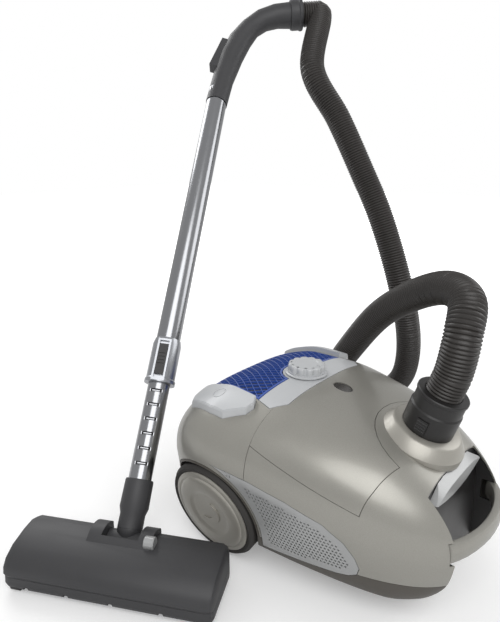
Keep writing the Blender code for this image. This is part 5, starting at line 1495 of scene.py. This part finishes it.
def sweep(points, radii, sides, bore):
    """A round tube along a line, with a radius at each point and an even bore."""
    shape = bmesh.new()
    ahead = (points[1] - points[0]).normalized()
    side = ahead.orthogonal().normalized()
    frames = []
    for i, point in enumerate(points):
        before, after = points[max(i - 1, 0)], points[min(i + 1, len(points) - 1)]
        turned_ahead = (after - before).normalized()
        side = (ahead.rotation_difference(turned_ahead) @ side).normalized()
        ahead = turned_ahead
        frames.append((point, side, ahead.cross(side)))
    walls = []
    for values in (radii, [bore] * len(points)):
        wall = []
        for (point, side, up), radius in zip(frames, values):
            around = [side * math.cos(turn) + up * math.sin(turn) for turn in turns(sides)]
            wall.append([shape.verts.new(point + way * radius) for way in around])
        walls.append(wall)
    loops = walls[0] + walls[1][::-1]
    for first, second in zip(loops, loops[1:] + loops[:1]):
        for k in range(sides):
            n = (k + 1) % sides
            shape.faces.new((first[k], first[n], second[n], second[k]))
    return mesh_of(shape)


HOSE_RINGS = 420
RING_PROFILE = ((0.0, 0.0), (0.25, 0.75), (0.5, 1.0), (0.75, 0.75))
GROOVE = 1.9 * MM


def build_hose():
    """The suction hose: fine rounded ribs with narrow grooves between them."""
    count = HOSE_RINGS * len(RING_PROFILE) + 1
    points, length = spaced(smooth_route(), count)
    radii = []
    for i in range(count):
        high = RING_PROFILE[i % len(RING_PROFILE)][1]
        radii.append(HOSE_DIAMETER / 2 - GROOVE * (1 - high))
    piece("hose", sweep(points, radii, 28, HOSE_BORE / 2), HOSE)
    return points, length


HOSE_LINE, HOSE_LENGTH = build_hose()


# ---------------------------------------------------------------- settling the forms


def canister_shift():
    """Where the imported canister's own frame lies, from its base tray."""
    low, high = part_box("base_tray")
    return Matrix.Translation(((low[0] + high[0]) / 2, high[1] - BODY_REAR, 0))


SHIFT = canister_shift()
CREASE = 32 * DEGREE


def settle():
    """Makes each form's modifiers part of its mesh and binds it in its CAD node's place."""
    bpy.context.view_layer.update()
    graph = bpy.context.evaluated_depsgraph_get()
    body_of = {name: body for body, names in BODY_NODES.items() for name in names}
    meshes = {}
    for name, made in FORMS.items():
        mesh = bpy.data.meshes.new_from_object(made.evaluated_get(graph))
        mesh.transform(SHIFT @ made.matrix_world)
        mesh.shade_smooth()
        mesh.set_sharp_from_angle(angle=CREASE)
        meshes[name] = mesh
    for made in [*FORMS.values(), *GUIDES]:
        bpy.data.objects.remove(made, do_unlink=True)
    for name, mesh in meshes.items():
        final = bpy.data.objects.new(name + "_form", mesh)
        bpy.context.collection.objects.link(final)
        carrier = EXTRAS.get(name, name)
        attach(final, body_of[carrier])
        if name not in EXTRAS:
            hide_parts(name)
        FORMS[name] = final


BODY_NODES = frame["record"]["behaviour"]["bodies"]
settle()

# ---------------------------------------------------------------- camera, light and ground

FLOOR_GLOW = 0.25
CAMERA_PLACE = Vector((-0.6075, -0.4507, 0.5298))
CAMERA_BEARING = -50.0
CAMERA_DIP = 16.2
CAMERA_LENS = 32.4


def build_camera():
    camera = bpy.data.objects.new("camera", bpy.data.cameras.new("camera"))
    bpy.context.collection.objects.link(camera)
    camera.data.lens = CAMERA_LENS
    turn = Matrix.Rotation(CAMERA_BEARING * DEGREE, 4, "Z")
    turn = turn @ Matrix.Rotation((90 - CAMERA_DIP) * DEGREE, 4, "X")
    camera.matrix_world = Matrix.Translation(SHIFT @ CAMERA_PLACE) @ turn
    bpy.context.scene.camera = camera


def lamp(name, place, target, size, power):
    made = bpy.data.objects.new(name, bpy.data.lights.new(name, "AREA"))
    bpy.context.collection.objects.link(made)
    made.data.shape = "DISK"
    made.data.size = size
    made.data.energy = power
    place = Vector(place)
    made.location = place
    made.rotation_euler = (Vector(target) - place).to_track_quat("-Z", "Y").to_euler()


def build_light():
    """Three soft lamps, and a world that looks white to the camera but lights less."""
    middle = (0.1, 0, 0.25)
    lamp("key", (-1.4, -1.5, 2.4), middle, 2.6, 42)
    lamp("fill", (2.2, -1.6, 1.6), middle, 2.0, 18)
    lamp("back", (0.6, 2.4, 2.0), middle, 1.8, 26)
    world = bpy.data.worlds.new("studio")
    bpy.context.scene.world = world
    world.use_nodes = True
    tree = world.node_tree
    light = tree.nodes["Background"]
    path = node(tree, "LightPath")
    seen = node(tree, "Math")
    seen.operation = "MAXIMUM"
    tree.links.new(path.outputs["Is Camera Ray"], seen.inputs[0])
    tree.links.new(path.outputs["Is Transmission Ray"], seen.inputs[1])
    strength = node(tree, "MapRange", To_Min=0.55, To_Max=1.0)
    tree.links.new(seen.outputs["Value"], strength.inputs["Value"])
    tree.links.new(strength.outputs["Result"], light.inputs["Strength"])
    light.inputs["Color"].default_value = (1, 1, 1, 1)


def build_ground():
    """A pale floor that looks white to the camera and takes a soft shadow."""
    shape = bmesh.new()
    bmesh.ops.create_grid(shape, x_segments=1, y_segments=1, size=6)
    floor = bpy.data.objects.new("floor", mesh_of(shape))
    bpy.context.collection.objects.link(floor)
    made = bpy.data.materials.new("floor")
    made.use_nodes = True
    tree = made.node_tree
    shader = tree.nodes["Principled BSDF"]
    shader.inputs["Base Color"].default_value = (0.8, 0.8, 0.8, 1)
    shader.inputs["Roughness"].default_value = 0.9
    path = node(tree, "LightPath")
    place = node(tree, "TexCoord")
    reach = node(tree, "VectorMath")
    reach.operation = "LENGTH"
    tree.links.new(place.outputs["Object"], reach.inputs[0])
    fade = node(tree, "MapRange", From_Min=0.7, From_Max=1.8, To_Min=FLOOR_GLOW, To_Max=1.0)
    tree.links.new(reach.outputs["Value"], fade.inputs["Value"])
    glow = node(tree, "Math")
    glow.operation = "MULTIPLY"
    tree.links.new(path.outputs["Is Camera Ray"], glow.inputs[0])
    tree.links.new(fade.outputs["Result"], glow.inputs[1])
    shader.inputs["Emission Color"].default_value = (1, 1, 1, 1)
    tree.links.new(glow.outputs["Value"], shader.inputs["Emission Strength"])
    floor.data.materials.append(made)


build_camera()
build_light()
build_ground()
